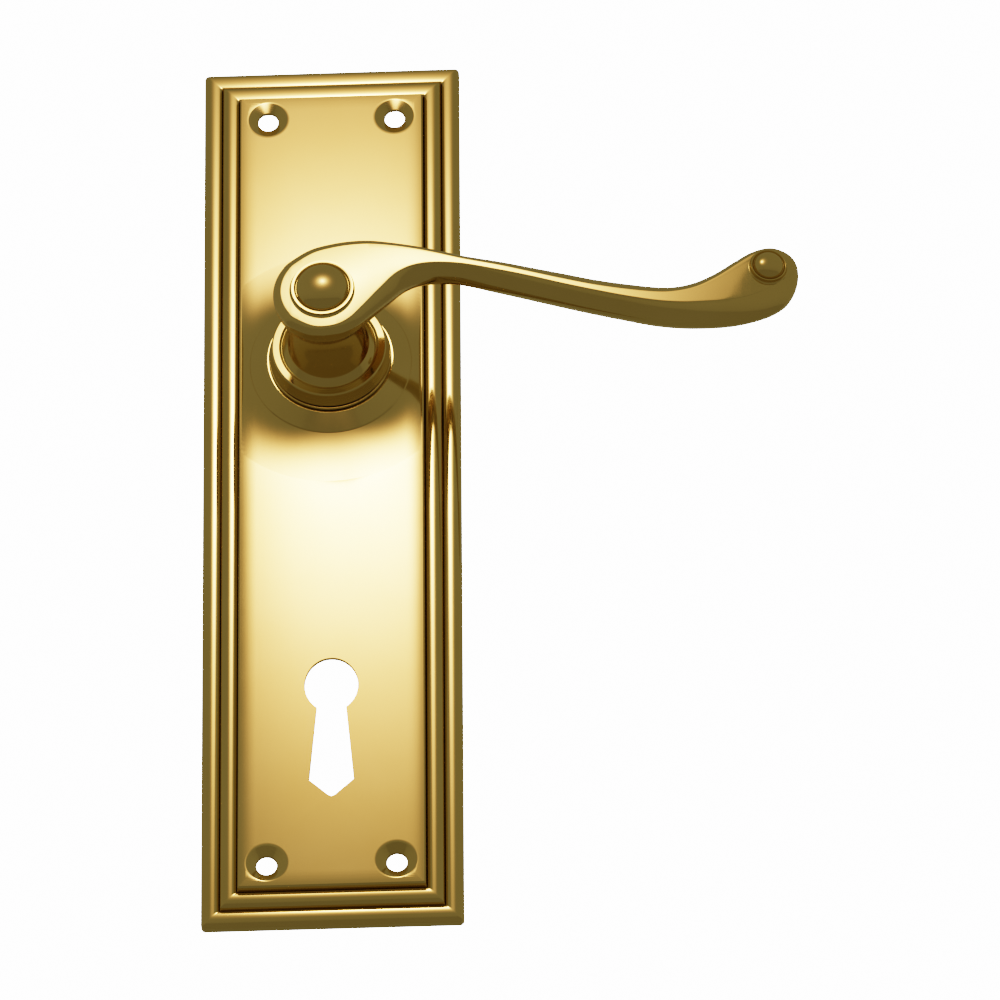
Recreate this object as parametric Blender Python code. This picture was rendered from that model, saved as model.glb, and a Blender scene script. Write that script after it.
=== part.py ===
"""Scroll lever handle on a long lock backplate, with its sprung bearing and spindle.

Frame: metres, +X along the lever's arm, +Z up, +Y into the door. The origin is on the spindle
axis, in the plane of the door's face. Sizes below are in millimetres, and a height is the
distance that a point stands out from the door, so a negative height is inside the door.
"""
import math

import bmesh
import bpy

MM = 0.001
GAP = 0.3                     # clearance between neighbouring pieces
ROUND_STEPS = 40              # sides of a turned piece

# Backplate
PLATE_WIDTH = 50.0
PLATE_TOP = 69.0              # above the spindle axis
PLATE_BOTTOM = -121.0
PLATE_CORNER = 0.9            # corner radius in plan
FIELD_HEIGHT = 4.8            # the raised flat face
FIELD_INSET = 7.5
HOLLOW_RIM = 3.5              # the casting is hollow behind, in two steps
HOLLOW_RIM_HEIGHT = 0.8
HOLLOW_INSET = 7.8
HOLLOW_HEIGHT = 2.6
RIB_WIDTH = 2.0
RIB_LEVELS = (36.0, -40.0)
SCREW_X = 12.4
SCREW_LEVELS = (56.8, -108.8)
SCREW_RADIUS = 1.95
SCREW_LAND_BACK = 3.1         # heights between which a screw hole is straight
SCREW_LAND_FRONT = 3.6
COUNTERSINK_RADIUS = 3.7
COUNTERBORE_RADIUS = 3.8      # relief behind a screw hole
PILLAR_RADIUS = 5.2
BORE_RADIUS = 9.2

# Boss cast round the neck
SKIRT_RADIUS = 27.0           # where the skirt runs out into the field
SKIRT_RISE = 1.0
SKIRT_POWER = 2.2
CURL_RISE = 0.5               # the skirt turns up more steeply next to the boss
CURL_POWER = 4.5
SKIRT_HALF_WIDTH = 17.4       # the field's long edges cut the skirt off
BOSS_RADIUS = 15.7
BOSS_TOP_RADIUS = 12.2
BOSS_TOP = 8.25

# Keyhole
KEY_LEVEL = -70.5
KEY_HALF_WIDTH = 5.1
KEY_HALF_HEIGHT = 5.8
KEY_WAIST_ANGLE = 56.7
KEY_FOOT_HALF_WIDTH = 4.25
KEY_FOOT_LEVEL = -91.1
KEY_TIP_LEVEL = -94.7
KEY_RELIEF = 2.6              # the keyhole widens behind its lip
KEY_WALL = 3.9

# Neck and its tail
FLANGE_RADIUS = 11.7
FLANGE_LIP_RADIUS = 11.05
FLANGE_BACK = 9.4
FLANGE_FRONT = 12.9
NECK_SHOULDER = 28.6
NECK_SHANK_RADIUS = 8.2
SPIGOT_RADIUS = 4.7
SPIGOT_TOP = 31.6
TAIL_RADIUS = 7.4
TAIL_END = -10.2
GROOVE_RADIUS = 6.6
GROOVE_FRONT = -8.2
GROOVE_BACK = -9.6
FLAT_OFFSET = 6.4
FLAT_START = 1.0
STEM_RADIUS = 1.6

# Spindle
SPINDLE_SIZE = 8.0
SPINDLE_FRONT = 14.7
SPINDLE_BACK = -60.0
SPINDLE_CHAMFER = 0.6
SOCKET_FRONT = 15.0

# Arm
FACE_HEIGHT = 33.9            # the hub's flat face
HUB_RADIUS = 8.1
HUB_FLARE = 1.5
RETURN_START = 50.0           # from here the arm bends back towards the door
RETURN_RATE = 0.00243
SCROLL_CENTRE = (85.5, 3.9)

# Spring box
CUP_RADIUS = 15.0
CUP_WALL = 1.1
CUP_FRONT = 2.1
CUP_FLOOR_BACK = 1.3
CUP_BACK = -5.2
CUP_HOLE_RADIUS = 10.9
COVER_FRONT = -5.5
COVER_BACK = -6.3
EAR_SCREW_OFFSET = 17.8
EAR_HALF_WIDTH = 3.5
CAM_FRONT = 0.8
CAM_BACK = -0.8
CAM_RADIUS = 10.6
LUG_RADIUS = 13.2
LUG_ANGLE = 112.0
LUG_HALF_ANGLE = 9.0
POST_RADIUS = 0.8
PIN_RADIUS = 0.9
PIN_ORBIT = 12.2
TURN_ANGLE = 45.0
WIRE_RADIUS = 0.6
COIL_RADIUS = 9.3
COIL_FRONT = -1.75
COIL_BACK = -4.55
LEG_RADIUS = 13.0
LEG_BEND = 1.2


def point(x, height, z):
    """World position of a point given in millimetres."""
    return (x * MM, -height * MM, z * MM)


def polar(radius, degrees):
    """X and Z of a point at a radius and angle about the spindle axis."""
    angle = math.radians(degrees)
    return (radius * math.cos(angle), radius * math.sin(angle))


def clear_scene():
    for old in list(bpy.data.objects):
        bpy.data.objects.remove(old, do_unlink=True)


def make_material(name, colour, metallic, roughness):
    material = bpy.data.materials.new(name)
    material.use_nodes = True
    shader = material.node_tree.nodes["Principled BSDF"]
    shader.inputs["Base Color"].default_value = (*colour, 1.0)
    shader.inputs["Metallic"].default_value = metallic
    shader.inputs["Roughness"].default_value = roughness
    return material


def add_object(name, shape, material=None, sharp_angle=32.0):
    """Object from (vertices, faces), with its faces turned outwards."""
    vertices, faces = shape
    mesh = bpy.data.meshes.new(name)
    mesh.from_pydata(vertices, [], faces)
    builder = bmesh.new()
    builder.from_mesh(mesh)
    bmesh.ops.recalc_face_normals(builder, faces=builder.faces)
    builder.to_mesh(mesh)
    builder.free()
    mesh.shade_smooth()
    mesh.set_sharp_from_angle(angle=math.radians(sharp_angle))
    thing = bpy.data.objects.new(name, mesh)
    bpy.context.scene.collection.objects.link(thing)
    if material:
        mesh.materials.append(material)
    return thing


def combine(target, tool, operation):
    """Boolean of target with a hidden tool object."""
    tool.hide_render = True
    tool.display_type = 'WIRE'
    step = target.modifiers.new(tool.name, 'BOOLEAN')
    step.object = tool
    step.operation = operation
    step.solver = 'EXACT'


def cut(target, name, shape):
    combine(target, add_object(name, shape), 'DIFFERENCE')


# ---- Basic shapes ----

def turned(profile, centre=(0.0, 0.0), steps=ROUND_STEPS):
    """Profile of (radius, height) points turned about an axis that runs into the door.

    A profile that starts and ends at radius 0 is a solid; any other one closes on itself.
    """
    vertices = []
    rings = []
    for radius, height in profile:
        count = steps if radius > 0 else 1
        rings.append(range(len(vertices), len(vertices) + count))
        for k in range(count):
            x, z = polar(radius, 360.0 * k / steps)
            vertices.append(point(centre[0] + x, height, centre[1] + z))
    pairs = list(zip(rings, rings[1:]))
    if profile[0][0] > 0:
        pairs.append((rings[-1], rings[0]))
    faces = []
    for first, second in pairs:
        for k in range(steps):
            following = (k + 1) % steps
            loop = (first[k % len(first)], first[following % len(first)],
                    second[following % len(second)], second[k % len(second)])
            faces.append(tuple(dict.fromkeys(loop)))
    return vertices, faces


def stacked(loops):
    """Closed solid through loops of the same number of points."""
    count = len(loops[0])
    vertices = [vertex for loop in loops for vertex in loop]
    faces = [tuple(range(count)), tuple(range(len(vertices) - count, len(vertices)))]
    for row in range(len(loops) - 1):
        for k in range(count):
            following = (k + 1) % count
            faces.append((row * count + k, row * count + following,
                          (row + 1) * count + following, (row + 1) * count + k))
    return vertices, faces


def prism(outline, back, front):
    """Outline of (x, z) points between two heights."""
    return stacked([[point(x, height, z) for x, z in outline] for height in (back, front)])


def cylinder(radius, back, front, centre=(0.0, 0.0), steps=ROUND_STEPS):
    return turned([(0, back), (radius, back), (radius, front), (0, front)], centre, steps)


def box_outline(x_low, x_high, z_low, z_high):
    return [(x_low, z_low), (x_high, z_low), (x_high, z_high), (x_low, z_high)]


def arc(radius, start, end, steps, centre=(0.0, 0.0)):
    """Points (x, z) along an arc about the spindle axis or another centre."""
    spots = [polar(radius, start + (end - start) * k / steps) for k in range(steps + 1)]
    return [(centre[0] + x, centre[1] + z) for x, z in spots]


def swept_wire(path, radius, sides=8):
    """Round wire along a path of (x, height, z) points in millimetres."""
    vertices = []
    faces = []
    last = len(path) - 1
    for k, (x, height, z) in enumerate(path):
        before = path[max(k - 1, 0)]
        after = path[min(k + 1, last)]
        along = [b - a for a, b in zip(before, after)]
        length = math.sqrt(sum(c * c for c in along))
        along = [c / length for c in along]
        side = (along[2], 0.0, -along[0])
        width = math.hypot(side[0], side[2])
        side = (side[0] / width, 0.0, side[2] / width)
        rise = (along[1] * side[2] - along[2] * side[1],
                along[2] * side[0] - along[0] * side[2],
                along[0] * side[1] - along[1] * side[0])
        for j in range(sides):
            a, b = polar(radius, 360.0 * j / sides)
            vertices.append(point(x + a * side[0] + b * rise[0],
                                  height + a * side[1] + b * rise[1],
                                  z + a * side[2] + b * rise[2]))
    for k in range(last):
        for j in range(sides):
            following = (j + 1) % sides
            faces.append((k * sides + j, k * sides + following,
                          (k + 1) * sides + following, (k + 1) * sides + j))
    faces.append(tuple(range(sides)))
    faces.append(tuple(range(last * sides, (last + 1) * sides)))
    return vertices, faces


# ---- Backplate ----

def reed(inset_start, height_start, inset_end, height_end, bulge, steps=6):
    """Half-round moulding between two grooves, as (inset, height) points."""
    middle = (inset_start + inset_end) / 2
    half = (inset_end - inset_start) / 2
    spots = []
    for k in range(steps + 1):
        angle = math.pi * k / steps
        share = k / steps
        base = height_start + (height_end - height_start) * share
        spots.append((middle - half * math.cos(angle), base + bulge * math.sin(angle)))
    return spots


def plate_outline(inset, steps=3):
    """Rectangle with rounded corners, at an inset from the plate's edge."""
    radius = max(PLATE_CORNER - inset, 0.25)
    half = PLATE_WIDTH / 2 - inset - radius
    top = PLATE_TOP - inset - radius
    bottom = PLATE_BOTTOM + inset + radius
    corners = [((half, top), 0), ((-half, top), 90), ((-half, bottom), 180), ((half, bottom), 270)]
    outline = []
    for centre, start in corners:
        outline += arc(radius, start, start + 90, steps, centre)
    return outline


def plate_shape():
    """Solid plate: back, edge, two stepped reeds and the raised field."""
    section = [(0.0, 0.0)]
    section += reed(0.0, 1.5, 3.5, 1.8, 0.95)
    section += reed(3.7, 2.6, 6.9, 2.8, 0.85)
    section += [(7.1, 4.4), (7.25, 4.68), (FIELD_INSET, FIELD_HEIGHT)]
    return stacked([[point(x, height, z) for x, z in plate_outline(inset)]
                    for inset, height in section])


def keyhole_outline(wall=0.0):
    """Keyhole, or the outline of the wall cast round it."""
    half_width = KEY_HALF_WIDTH + wall
    half_height = KEY_HALF_HEIGHT + wall
    start = -KEY_WAIST_ANGLE
    end = 180 + KEY_WAIST_ANGLE
    outline = []
    for k in range(25):
        angle = math.radians(start + (end - start) * k / 24)
        outline.append((half_width * math.cos(angle), KEY_LEVEL + half_height * math.sin(angle)))
    foot = KEY_FOOT_HALF_WIDTH + wall
    tip = KEY_TIP_LEVEL - wall
    outline += [(-foot, KEY_FOOT_LEVEL), (-0.7, tip + 0.35), (0.0, tip), (0.7, tip + 0.35),
                (foot, KEY_FOOT_LEVEL)]
    return outline


def build_hollow(screws):
    """The space behind the casting: two steps, without the ribs, pillars and keyhole wall."""
    loops = []
    for inset, height in ((HOLLOW_RIM, -1.0), (HOLLOW_RIM, HOLLOW_RIM_HEIGHT),
                          (HOLLOW_INSET, HOLLOW_RIM_HEIGHT), (HOLLOW_INSET, HOLLOW_HEIGHT)):
        half = PLATE_WIDTH / 2 - inset
        outline = box_outline(-half, half, PLATE_BOTTOM + inset, PLATE_TOP - inset)
        loops.append([point(x, height, z) for x, z in outline])
    hollow = add_object("cut_hollow", stacked(loops))
    reach = PLATE_WIDTH / 2
    for number, level in enumerate(RIB_LEVELS):
        rib = box_outline(-reach, reach, level - RIB_WIDTH / 2, level + RIB_WIDTH / 2)
        cut(hollow, f"keep_rib_{number}", prism(rib, -2.0, HOLLOW_HEIGHT + 1))
    for number, centre in enumerate(screws):
        pillar = cylinder(PILLAR_RADIUS, -2.0, HOLLOW_HEIGHT + 1, centre, 24)
        cut(hollow, f"keep_pillar_{number}", pillar)
    cut(hollow, "keep_key_wall", prism(keyhole_outline(KEY_WALL), -2.0, HOLLOW_HEIGHT + 1))
    return hollow


def skirt_height(radius):
    """Height of the boss's hollow-curved skirt."""
    share = (SKIRT_RADIUS - radius) / (SKIRT_RADIUS - BOSS_RADIUS)
    return FIELD_HEIGHT + SKIRT_RISE * share ** SKIRT_POWER + CURL_RISE * share ** CURL_POWER


def build_boss():
    """Skirt, small step, cone and flat top round the neck, within the field's width."""
    rim = SKIRT_RADIUS - 1
    inside = FIELD_HEIGHT - 1.0
    profile = [(0, inside), (rim, inside), (rim, FIELD_HEIGHT - 0.2)]
    profile += [(radius, skirt_height(radius)) for radius in (24.0, 21.0, 18.5, 17.0, BOSS_RADIUS)]
    profile += [(BOSS_RADIUS - 0.15, skirt_height(BOSS_RADIUS) + 0.25), (BOSS_TOP_RADIUS, BOSS_TOP),
                (0, BOSS_TOP)]
    boss = add_object("join_boss", turned(profile, steps=48))
    between = box_outline(-SKIRT_HALF_WIDTH, SKIRT_HALF_WIDTH, -SKIRT_RADIUS, SKIRT_RADIUS)
    combine(boss, add_object("keep_boss", prism(between, 0.0, BOSS_TOP + 1)), 'INTERSECT')
    return boss


def build_backplate(material):
    plate = add_object("backplate", plate_shape(), material)
    screws = [(x, z) for x in (-SCREW_X, SCREW_X) for z in SCREW_LEVELS]
    combine(plate, build_hollow(screws), 'DIFFERENCE')
    combine(plate, build_boss(), 'UNION')
    for number, centre in enumerate(screws):
        hole = [(0, -1.0), (COUNTERBORE_RADIUS, -1.0), (COUNTERBORE_RADIUS, SCREW_LAND_BACK),
                (SCREW_RADIUS, SCREW_LAND_BACK), (SCREW_RADIUS, SCREW_LAND_FRONT),
                (COUNTERSINK_RADIUS, FIELD_HEIGHT - 0.25), (COUNTERSINK_RADIUS + 0.4, FIELD_HEIGHT + 0.01),
                (COUNTERSINK_RADIUS + 0.4, FIELD_HEIGHT + 1), (0, FIELD_HEIGHT + 1)]
        cut(plate, f"cut_screw_hole_{number}", turned(hole, centre, 28))
    key_loops = []
    for wall, height in ((KEY_RELIEF, -1.0), (KEY_RELIEF, 2.0), (0.0, FIELD_HEIGHT - 0.7),
                         (0.0, FIELD_HEIGHT + 1)):
        key_loops.append([point(x, height, z) for x, z in keyhole_outline(wall)])
    cut(plate, "cut_keyhole", stacked(key_loops))
    cut(plate, "cut_bore", cylinder(BORE_RADIUS, -1.0, BOSS_TOP + 1))
    for number, side in enumerate((-1, 1)):
        centre = (0.0, side * EAR_SCREW_OFFSET)
        cut(plate, f"cut_tapped_hole_{number}", cylinder(1.6, 1.0, 4.0, centre, 16))
    return plate


def build_seat_ring(material):
    back = BOSS_TOP + GAP
    front = FLANGE_BACK - GAP
    profile = [(BORE_RADIUS + 0.1, back), (11.75, back), (11.9, (back + front) / 2), (11.75, front),
               (BORE_RADIUS + 0.1, front)]
    return add_object("seat_ring", turned(profile), material)


def build_neck_bush(material):
    inner = TAIL_RADIUS + GAP
    outer = BORE_RADIUS - GAP
    profile = [(inner, FLANGE_BACK - GAP), (outer, FLANGE_BACK - GAP), (outer, CUP_FRONT),
               (CUP_HOLE_RADIUS - GAP, CUP_FRONT), (CUP_HOLE_RADIUS - GAP, 1.2), (inner, 1.2)]
    return add_object("neck_bush", turned(profile), material)


# ---- Lever ----

def neck_profile():
    """Neck from its spigot down the coved shank and the flange to the end of its tail."""
    profile = [(0, SPIGOT_TOP), (SPIGOT_RADIUS, SPIGOT_TOP), (SPIGOT_RADIUS, NECK_SHOULDER),
               (7.8, NECK_SHOULDER), (8.15, 28.2)]
    shank_top = 27.8
    shank_bottom = 14.4
    steps = 8
    for k in range(steps + 1):
        share = k / steps
        radius = NECK_SHANK_RADIUS - 0.75 * math.sin(math.pi * share) ** 0.8 - 0.45 * share
        profile.append((radius, shank_top + (shank_bottom - shank_top) * share))
    profile += [(7.85, 14.0), (8.6, 13.25), (9.3, 12.75), (9.6, FLANGE_FRONT - 0.05),
                (FLANGE_LIP_RADIUS - 0.2, FLANGE_FRONT), (FLANGE_LIP_RADIUS, FLANGE_FRONT - 0.2),
                (FLANGE_RADIUS, FLANGE_BACK + 0.3), (FLANGE_RADIUS - 0.2, FLANGE_BACK),
                (TAIL_RADIUS, FLANGE_BACK), (TAIL_RADIUS, GROOVE_FRONT), (GROOVE_RADIUS, GROOVE_FRONT),
                (GROOVE_RADIUS, GROOVE_BACK), (TAIL_RADIUS, GROOVE_BACK), (TAIL_RADIUS, TAIL_END + 0.2),
                (TAIL_RADIUS - 0.3, TAIL_END), (0, TAIL_END)]
    return profile


def build_lever_neck(material):
    neck = add_object("lever_neck", turned(neck_profile()), material)
    half = SPINDLE_SIZE / 2 + GAP
    cut(neck, "cut_socket", prism(box_outline(-half, half, -half, half), TAIL_END - 1, SOCKET_FRONT))
    for number, side in enumerate((-1, 1)):
        low, high = sorted((side * FLAT_OFFSET, side * (TAIL_RADIUS + 2)))
        flat = prism(box_outline(low, high, -TAIL_RADIUS - 2, TAIL_RADIUS + 2), TAIL_END - 1, FLAT_START)
        cut(neck, f"cut_flat_{number}", flat)
    cut(neck, "cut_stem_hole", cylinder(STEM_RADIUS + GAP, 24.0, SPIGOT_TOP + 1, steps=20))
    return neck


# Stations along the arm: the face's upper edge (x, z) and lower edge (x, z), how far the side
# flares out past each edge, the depth of that flare, and how far the back edge stands out.
ARM_STATIONS = (
    ((1.8, 9.45), (2.1, -7.82), 1.5, 1.5, 1.6, 0.3),
    ((5.4, 10.0), (5.0, -6.38), 1.5, 1.6, 1.7, 0.3),
    ((9.0, 10.1), (7.6, -3.7), 1.5, 1.9, 1.9, 0.3),
    ((13.0, 9.65), (11.0, 0.2), 1.5, 2.4, 2.3, 0.2),
    ((17.5, 8.8), (14.6, 3.75), 1.6, 2.6, 2.8, 0.1),
    ((22.0, 7.65), (19.2, 5.4), 1.7, 2.4, 3.1, -0.1),
    ((27.0, 6.2), (26.0, 5.2), 1.8, 2.3, 3.2, -0.2),
    ((34.0, 4.5), (34.0, 3.4), 2.0, 2.8, 3.2, -0.3),
    ((40.0, 2.8), (40.0, 1.8), 2.2, 3.0, 3.2, -0.3),
    ((46.0, 1.1), (46.0, 0.0), 2.4, 3.0, 3.2, -0.3),
    ((52.0, -0.45), (52.0, -1.65), 2.4, 3.1, 3.2, -0.3),
    ((58.0, -1.55), (58.0, -3.1), 2.4, 3.2, 3.2, -0.4),
    ((64.0, -2.2), (64.0, -4.15), 2.3, 3.5, 3.2, -0.5),
    ((68.0, -1.95), (69.0, -4.45), 2.2, 3.7, 3.2, -0.6),
    ((72.0, -0.75), (73.5, -4.15), 2.1, 4.0, 3.1, -0.8),
    ((76.0, 1.65), (77.5, -3.7), 1.8, 4.1, 2.9, -0.9),
    ((80.0, 4.75), (81.0, -2.85), 1.6, 4.2, 2.6, -0.9),
    ((83.0, 6.9), (84.0, -1.5), 1.5, 4.3, 2.5, -0.8),
    ((86.0, 7.9), (86.5, 0.0), 1.4, 3.9, 2.4, -0.7),
    ((88.6, 7.1), (88.4, 1.4), 1.3, 2.8, 2.3, -0.6),
    ((89.9, 5.6), (89.6, 2.6), 1.1, 1.7, 2.2, -0.5),
    ((90.25, 4.0), (90.25, 4.0), 1.0, 1.0, 2.2, -0.5),
)
ARM_BACK_DEPTH = 3.7
HUB_ARC_ANGLES = (0, 12, 24, 36, 48)
FLARE_ANGLES = (30, 55, 90)           # from the crisp face edge round to the widest line
BACK_ANGLES = (30, 60, 90)            # from the widest line round to the back


def arm_rows():
    """All stations, with the hub's round end first."""
    rows = []
    for angle in HUB_ARC_ANGLES:
        upper = polar(HUB_RADIUS, 180 - angle)
        lower = polar(HUB_RADIUS, 180 + angle)
        rows.append((upper, lower, HUB_FLARE, HUB_FLARE, HUB_FLARE, 0.3))
    rows.append(((-1.9, 8.35), polar(HUB_RADIUS, 258), HUB_FLARE, HUB_FLARE, HUB_FLARE, 0.3))
    return rows + list(ARM_STATIONS)


def blend_cubic(before, start, end, after, share):
    """Catmull-Rom curve between start and end, for tuples of numbers."""
    result = []
    for a, b, c, d in zip(before, start, end, after):
        value = 2 * b + (c - a) * share + (2 * a - 5 * b + 4 * c - d) * share ** 2
        value += (3 * b - a - 3 * c + d) * share ** 3
        result.append(value / 2)
    return tuple(result)


def arm_outline(steps):
    """Closed outline of the face: x, z, flare, flare depth and back offset at each point."""
    rows = arm_rows()
    loop = [(*row[0], row[2], row[4], row[5]) for row in rows]
    loop += [(*row[1], row[3], row[4], row[5]) for row in reversed(rows[1:-1])]
    outline = []
    count = len(loop)
    for k in range(count):
        for step in range(steps):
            outline.append(blend_cubic(loop[k - 1], loop[k], loop[(k + 1) % count],
                                       loop[(k + 2) % count], step / steps))
    return outline


def face_height(x):
    """Height of the arm's face, which bends back towards the door near its end."""
    return FACE_HEIGHT - RETURN_RATE * max(x - RETURN_START, 0.0) ** 2


def arm_levels(outline):
    """Loops of points from the face's edge, over the flared side, to the back's edge."""
    crease = math.radians(FLARE_ANGLES[0])
    levels = []
    for angle in FLARE_ANGLES:
        turn = math.radians(angle)
        out = (math.sin(turn) - math.sin(crease)) / (1 - math.sin(crease))
        down = (math.cos(crease) - math.cos(turn)) / math.cos(crease)
        levels.append([(flare * out, depth * down) for _, _, flare, depth, _ in outline])
    for angle in BACK_ANGLES:
        turn = math.radians(angle)
        levels.append([(back + (flare - back) * math.cos(turn),
                        depth + ARM_BACK_DEPTH * math.sin(turn))
                       for _, _, flare, depth, back in outline])
    return levels


def arm_shape(steps=2):
    """Arm and hub as one lofted solid, capped by strips across the face and the back."""
    outline = arm_outline(steps)
    count = len(outline)
    normals = []
    for k in range(count):
        dx = outline[(k + 1) % count][0] - outline[k - 1][0]
        dz = outline[(k + 1) % count][1] - outline[k - 1][1]
        length = math.hypot(dx, dz)
        normals.append((-dz / length, dx / length))
    vertices = []
    for level in arm_levels(outline):
        for (x, z, *_), (nx, nz), (out, down) in zip(outline, normals, level):
            vertices.append(point(x + nx * out, face_height(x) - down, z + nz * out))
    rows = len(vertices) // count
    faces = []
    for row in range(rows - 1):
        for k in range(count):
            following = (k + 1) % count
            faces.append((row * count + k, row * count + following,
                          (row + 1) * count + following, (row + 1) * count + k))
    for start in (0, (rows - 1) * count):
        for k in range(count // 2):
            strip = (k, k + 1, (count - k - 1) % count, (count - k) % count)
            faces.append(tuple(start + spot for spot in dict.fromkeys(strip)))
    return vertices, faces


def tilted(shape, centre_x, centre_z):
    """Moves a shape turned about the spindle axis onto the arm's face, square to it."""
    slope = -2 * RETURN_RATE * max(centre_x - RETURN_START, 0.0)
    angle = math.atan(-slope)
    vertices, faces = shape
    moved = []
    for x, y, z in vertices:
        turned_x = x * math.cos(angle) - y * math.sin(angle)
        turned_y = x * math.sin(angle) + y * math.cos(angle)
        moved.append((turned_x + centre_x * MM, turned_y - face_height(centre_x) * MM,
                      z + centre_z * MM))
    return moved, faces


def build_lever_arm(material):
    arm = add_object("lever_arm", arm_shape(), material)
    cut(arm, "cut_shank_seat", cylinder(NECK_SHANK_RADIUS + GAP, 20.0, NECK_SHOULDER + GAP))
    cut(arm, "cut_hub_bore", cylinder(SPIGOT_RADIUS + GAP, 20.0, SPIGOT_TOP + GAP))
    cut(arm, "cut_hub_stem", cylinder(STEM_RADIUS + GAP, 20.0, FACE_HEIGHT + 1, steps=20))
    cut(arm, "cut_scroll_stem", tilted(cylinder(1.3, -3.6, 2.0, steps=16), *SCROLL_CENTRE))
    return arm


def button_profile(base, rim, lip, dome_height, rim_height, stem, stem_length):
    """Turned button: stem, coved ring and dome, with its height from the face."""
    profile = [(0, -stem_length), (stem, -stem_length), (stem, GAP), (base, GAP)]
    for k in range(1, 4):
        turn = math.radians(30.0 * k)
        radius = rim + (base - rim) * (1 - math.sin(turn))
        profile.append((radius, GAP + (rim_height - GAP) * (1 - math.cos(turn))))
    profile += [(lip, rim_height), (lip - 0.15, rim_height - 0.25)]
    steps = 5
    dome_radius = lip - 0.25
    for k in range(steps + 1):
        turn = math.radians(90.0 * k / steps)
        radius = dome_radius * math.cos(turn) if k < steps else 0
        profile.append((radius, rim_height - 0.25 + (dome_height - rim_height + 0.25) * math.sin(turn)))
    return profile


def build_buttons(material):
    hub = button_profile(6.6, 5.95, 5.3, 3.3, 1.1, STEM_RADIUS, 8.9)
    scroll = button_profile(3.8, 3.45, 3.1, 2.4, 1.0, 1.0, 3.3)
    hub_button = add_object("hub_button", tilted(turned(hub), 0.0, 0.0), material)
    end = tilted(turned(scroll, steps=28), *SCROLL_CENTRE)
    scroll_button = add_object("scroll_button", end, material)
    return [hub_button, scroll_button]


# ---- Spring box and running gear ----

def build_spring_housing(material):
    inner = CUP_RADIUS - CUP_WALL
    profile = [(CUP_HOLE_RADIUS, CUP_FRONT), (CUP_RADIUS, CUP_FRONT), (CUP_RADIUS, CUP_BACK),
               (inner, CUP_BACK), (inner, CUP_FLOOR_BACK), (CUP_HOLE_RADIUS, CUP_FLOOR_BACK)]
    housing = add_object("spring_housing", turned(profile), material)
    for number, side in enumerate((-1, 1)):
        end = [(x, side * z) for x, z in arc(EAR_HALF_WIDTH, 0, 180, 10, (0.0, EAR_SCREW_OFFSET))]
        outline = end + [(-EAR_HALF_WIDTH, side * 13.6), (EAR_HALF_WIDTH, side * 13.6)]
        ear = add_object(f"join_ear_{number}", prism(outline, CUP_FLOOR_BACK + 0.05, CUP_FRONT - 0.05))
        combine(housing, ear, 'UNION')
        hole = cylinder(1.6, 0.0, CUP_FRONT + 1, (0.0, side * EAR_SCREW_OFFSET), 16)
        cut(housing, f"cut_ear_hole_{number}", hole)
    return housing


def build_spring_cover(material):
    profile = [(TAIL_RADIUS + 0.4, COVER_FRONT), (CUP_RADIUS, COVER_FRONT), (CUP_RADIUS, COVER_BACK),
               (TAIL_RADIUS + 0.4, COVER_BACK)]
    cover = add_object("spring_cover", turned(profile), material)
    hole = cylinder(PIN_RADIUS + GAP, COVER_BACK - 1, COVER_FRONT + 1, anchor_position(), 16)
    cut(cover, "cut_anchor_hole", hole)
    return cover


def build_housing_screws(material):
    screws = []
    for name, side in (("housing_screw_upper", 1), ("housing_screw_lower", -1)):
        centre = (0.0, side * EAR_SCREW_OFFSET)
        profile = [(0, 0.1), (2.3, 0.1), (2.5, 0.3), (2.5, 1.0), (1.3, 1.0), (1.3, 3.5), (1.1, 3.7),
                   (0, 3.7)]
        screw = add_object(name, turned(profile, centre, 20), material)
        slot = box_outline(-3.0, 3.0, centre[1] - 0.35, centre[1] + 0.35)
        cut(screw, f"cut_slot_{name}", prism(slot, -0.5, 0.55))
        screws.append(screw)
    return screws


def lug_clearance_angle(radius):
    """Angle that a pin of this radius and the gap take up beside the lug."""
    return math.degrees((radius + GAP) / PIN_ORBIT)


def anchor_position():
    """The anchor pin stands beside the spring's fixed leg."""
    beside = math.degrees((PIN_RADIUS + WIRE_RADIUS + GAP) / PIN_ORBIT)
    return polar(PIN_ORBIT, fixed_leg_angle() - beside)


def moving_leg_angle():
    """The spring's moving leg stands beside the cam's post."""
    return LUG_ANGLE - math.degrees((POST_RADIUS + WIRE_RADIUS + GAP) / PIN_ORBIT)


def fixed_leg_angle():
    return 78.0


def build_pins(material):
    away = LUG_HALF_ANGLE + lug_clearance_angle(PIN_RADIUS)
    rest = polar(PIN_ORBIT, LUG_ANGLE + away)
    stop = polar(PIN_ORBIT, LUG_ANGLE - TURN_ANGLE - away)
    front = CUP_FLOOR_BACK - GAP
    return [
        add_object("stop_pin_rest", cylinder(PIN_RADIUS, CAM_BACK, front, rest, 16), material),
        add_object("stop_pin_open", cylinder(PIN_RADIUS, CAM_BACK, front, stop, 16), material),
        add_object("spring_anchor_pin",
                   cylinder(PIN_RADIUS, COVER_BACK, -3.6, anchor_position(), 16), material),
    ]


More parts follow.
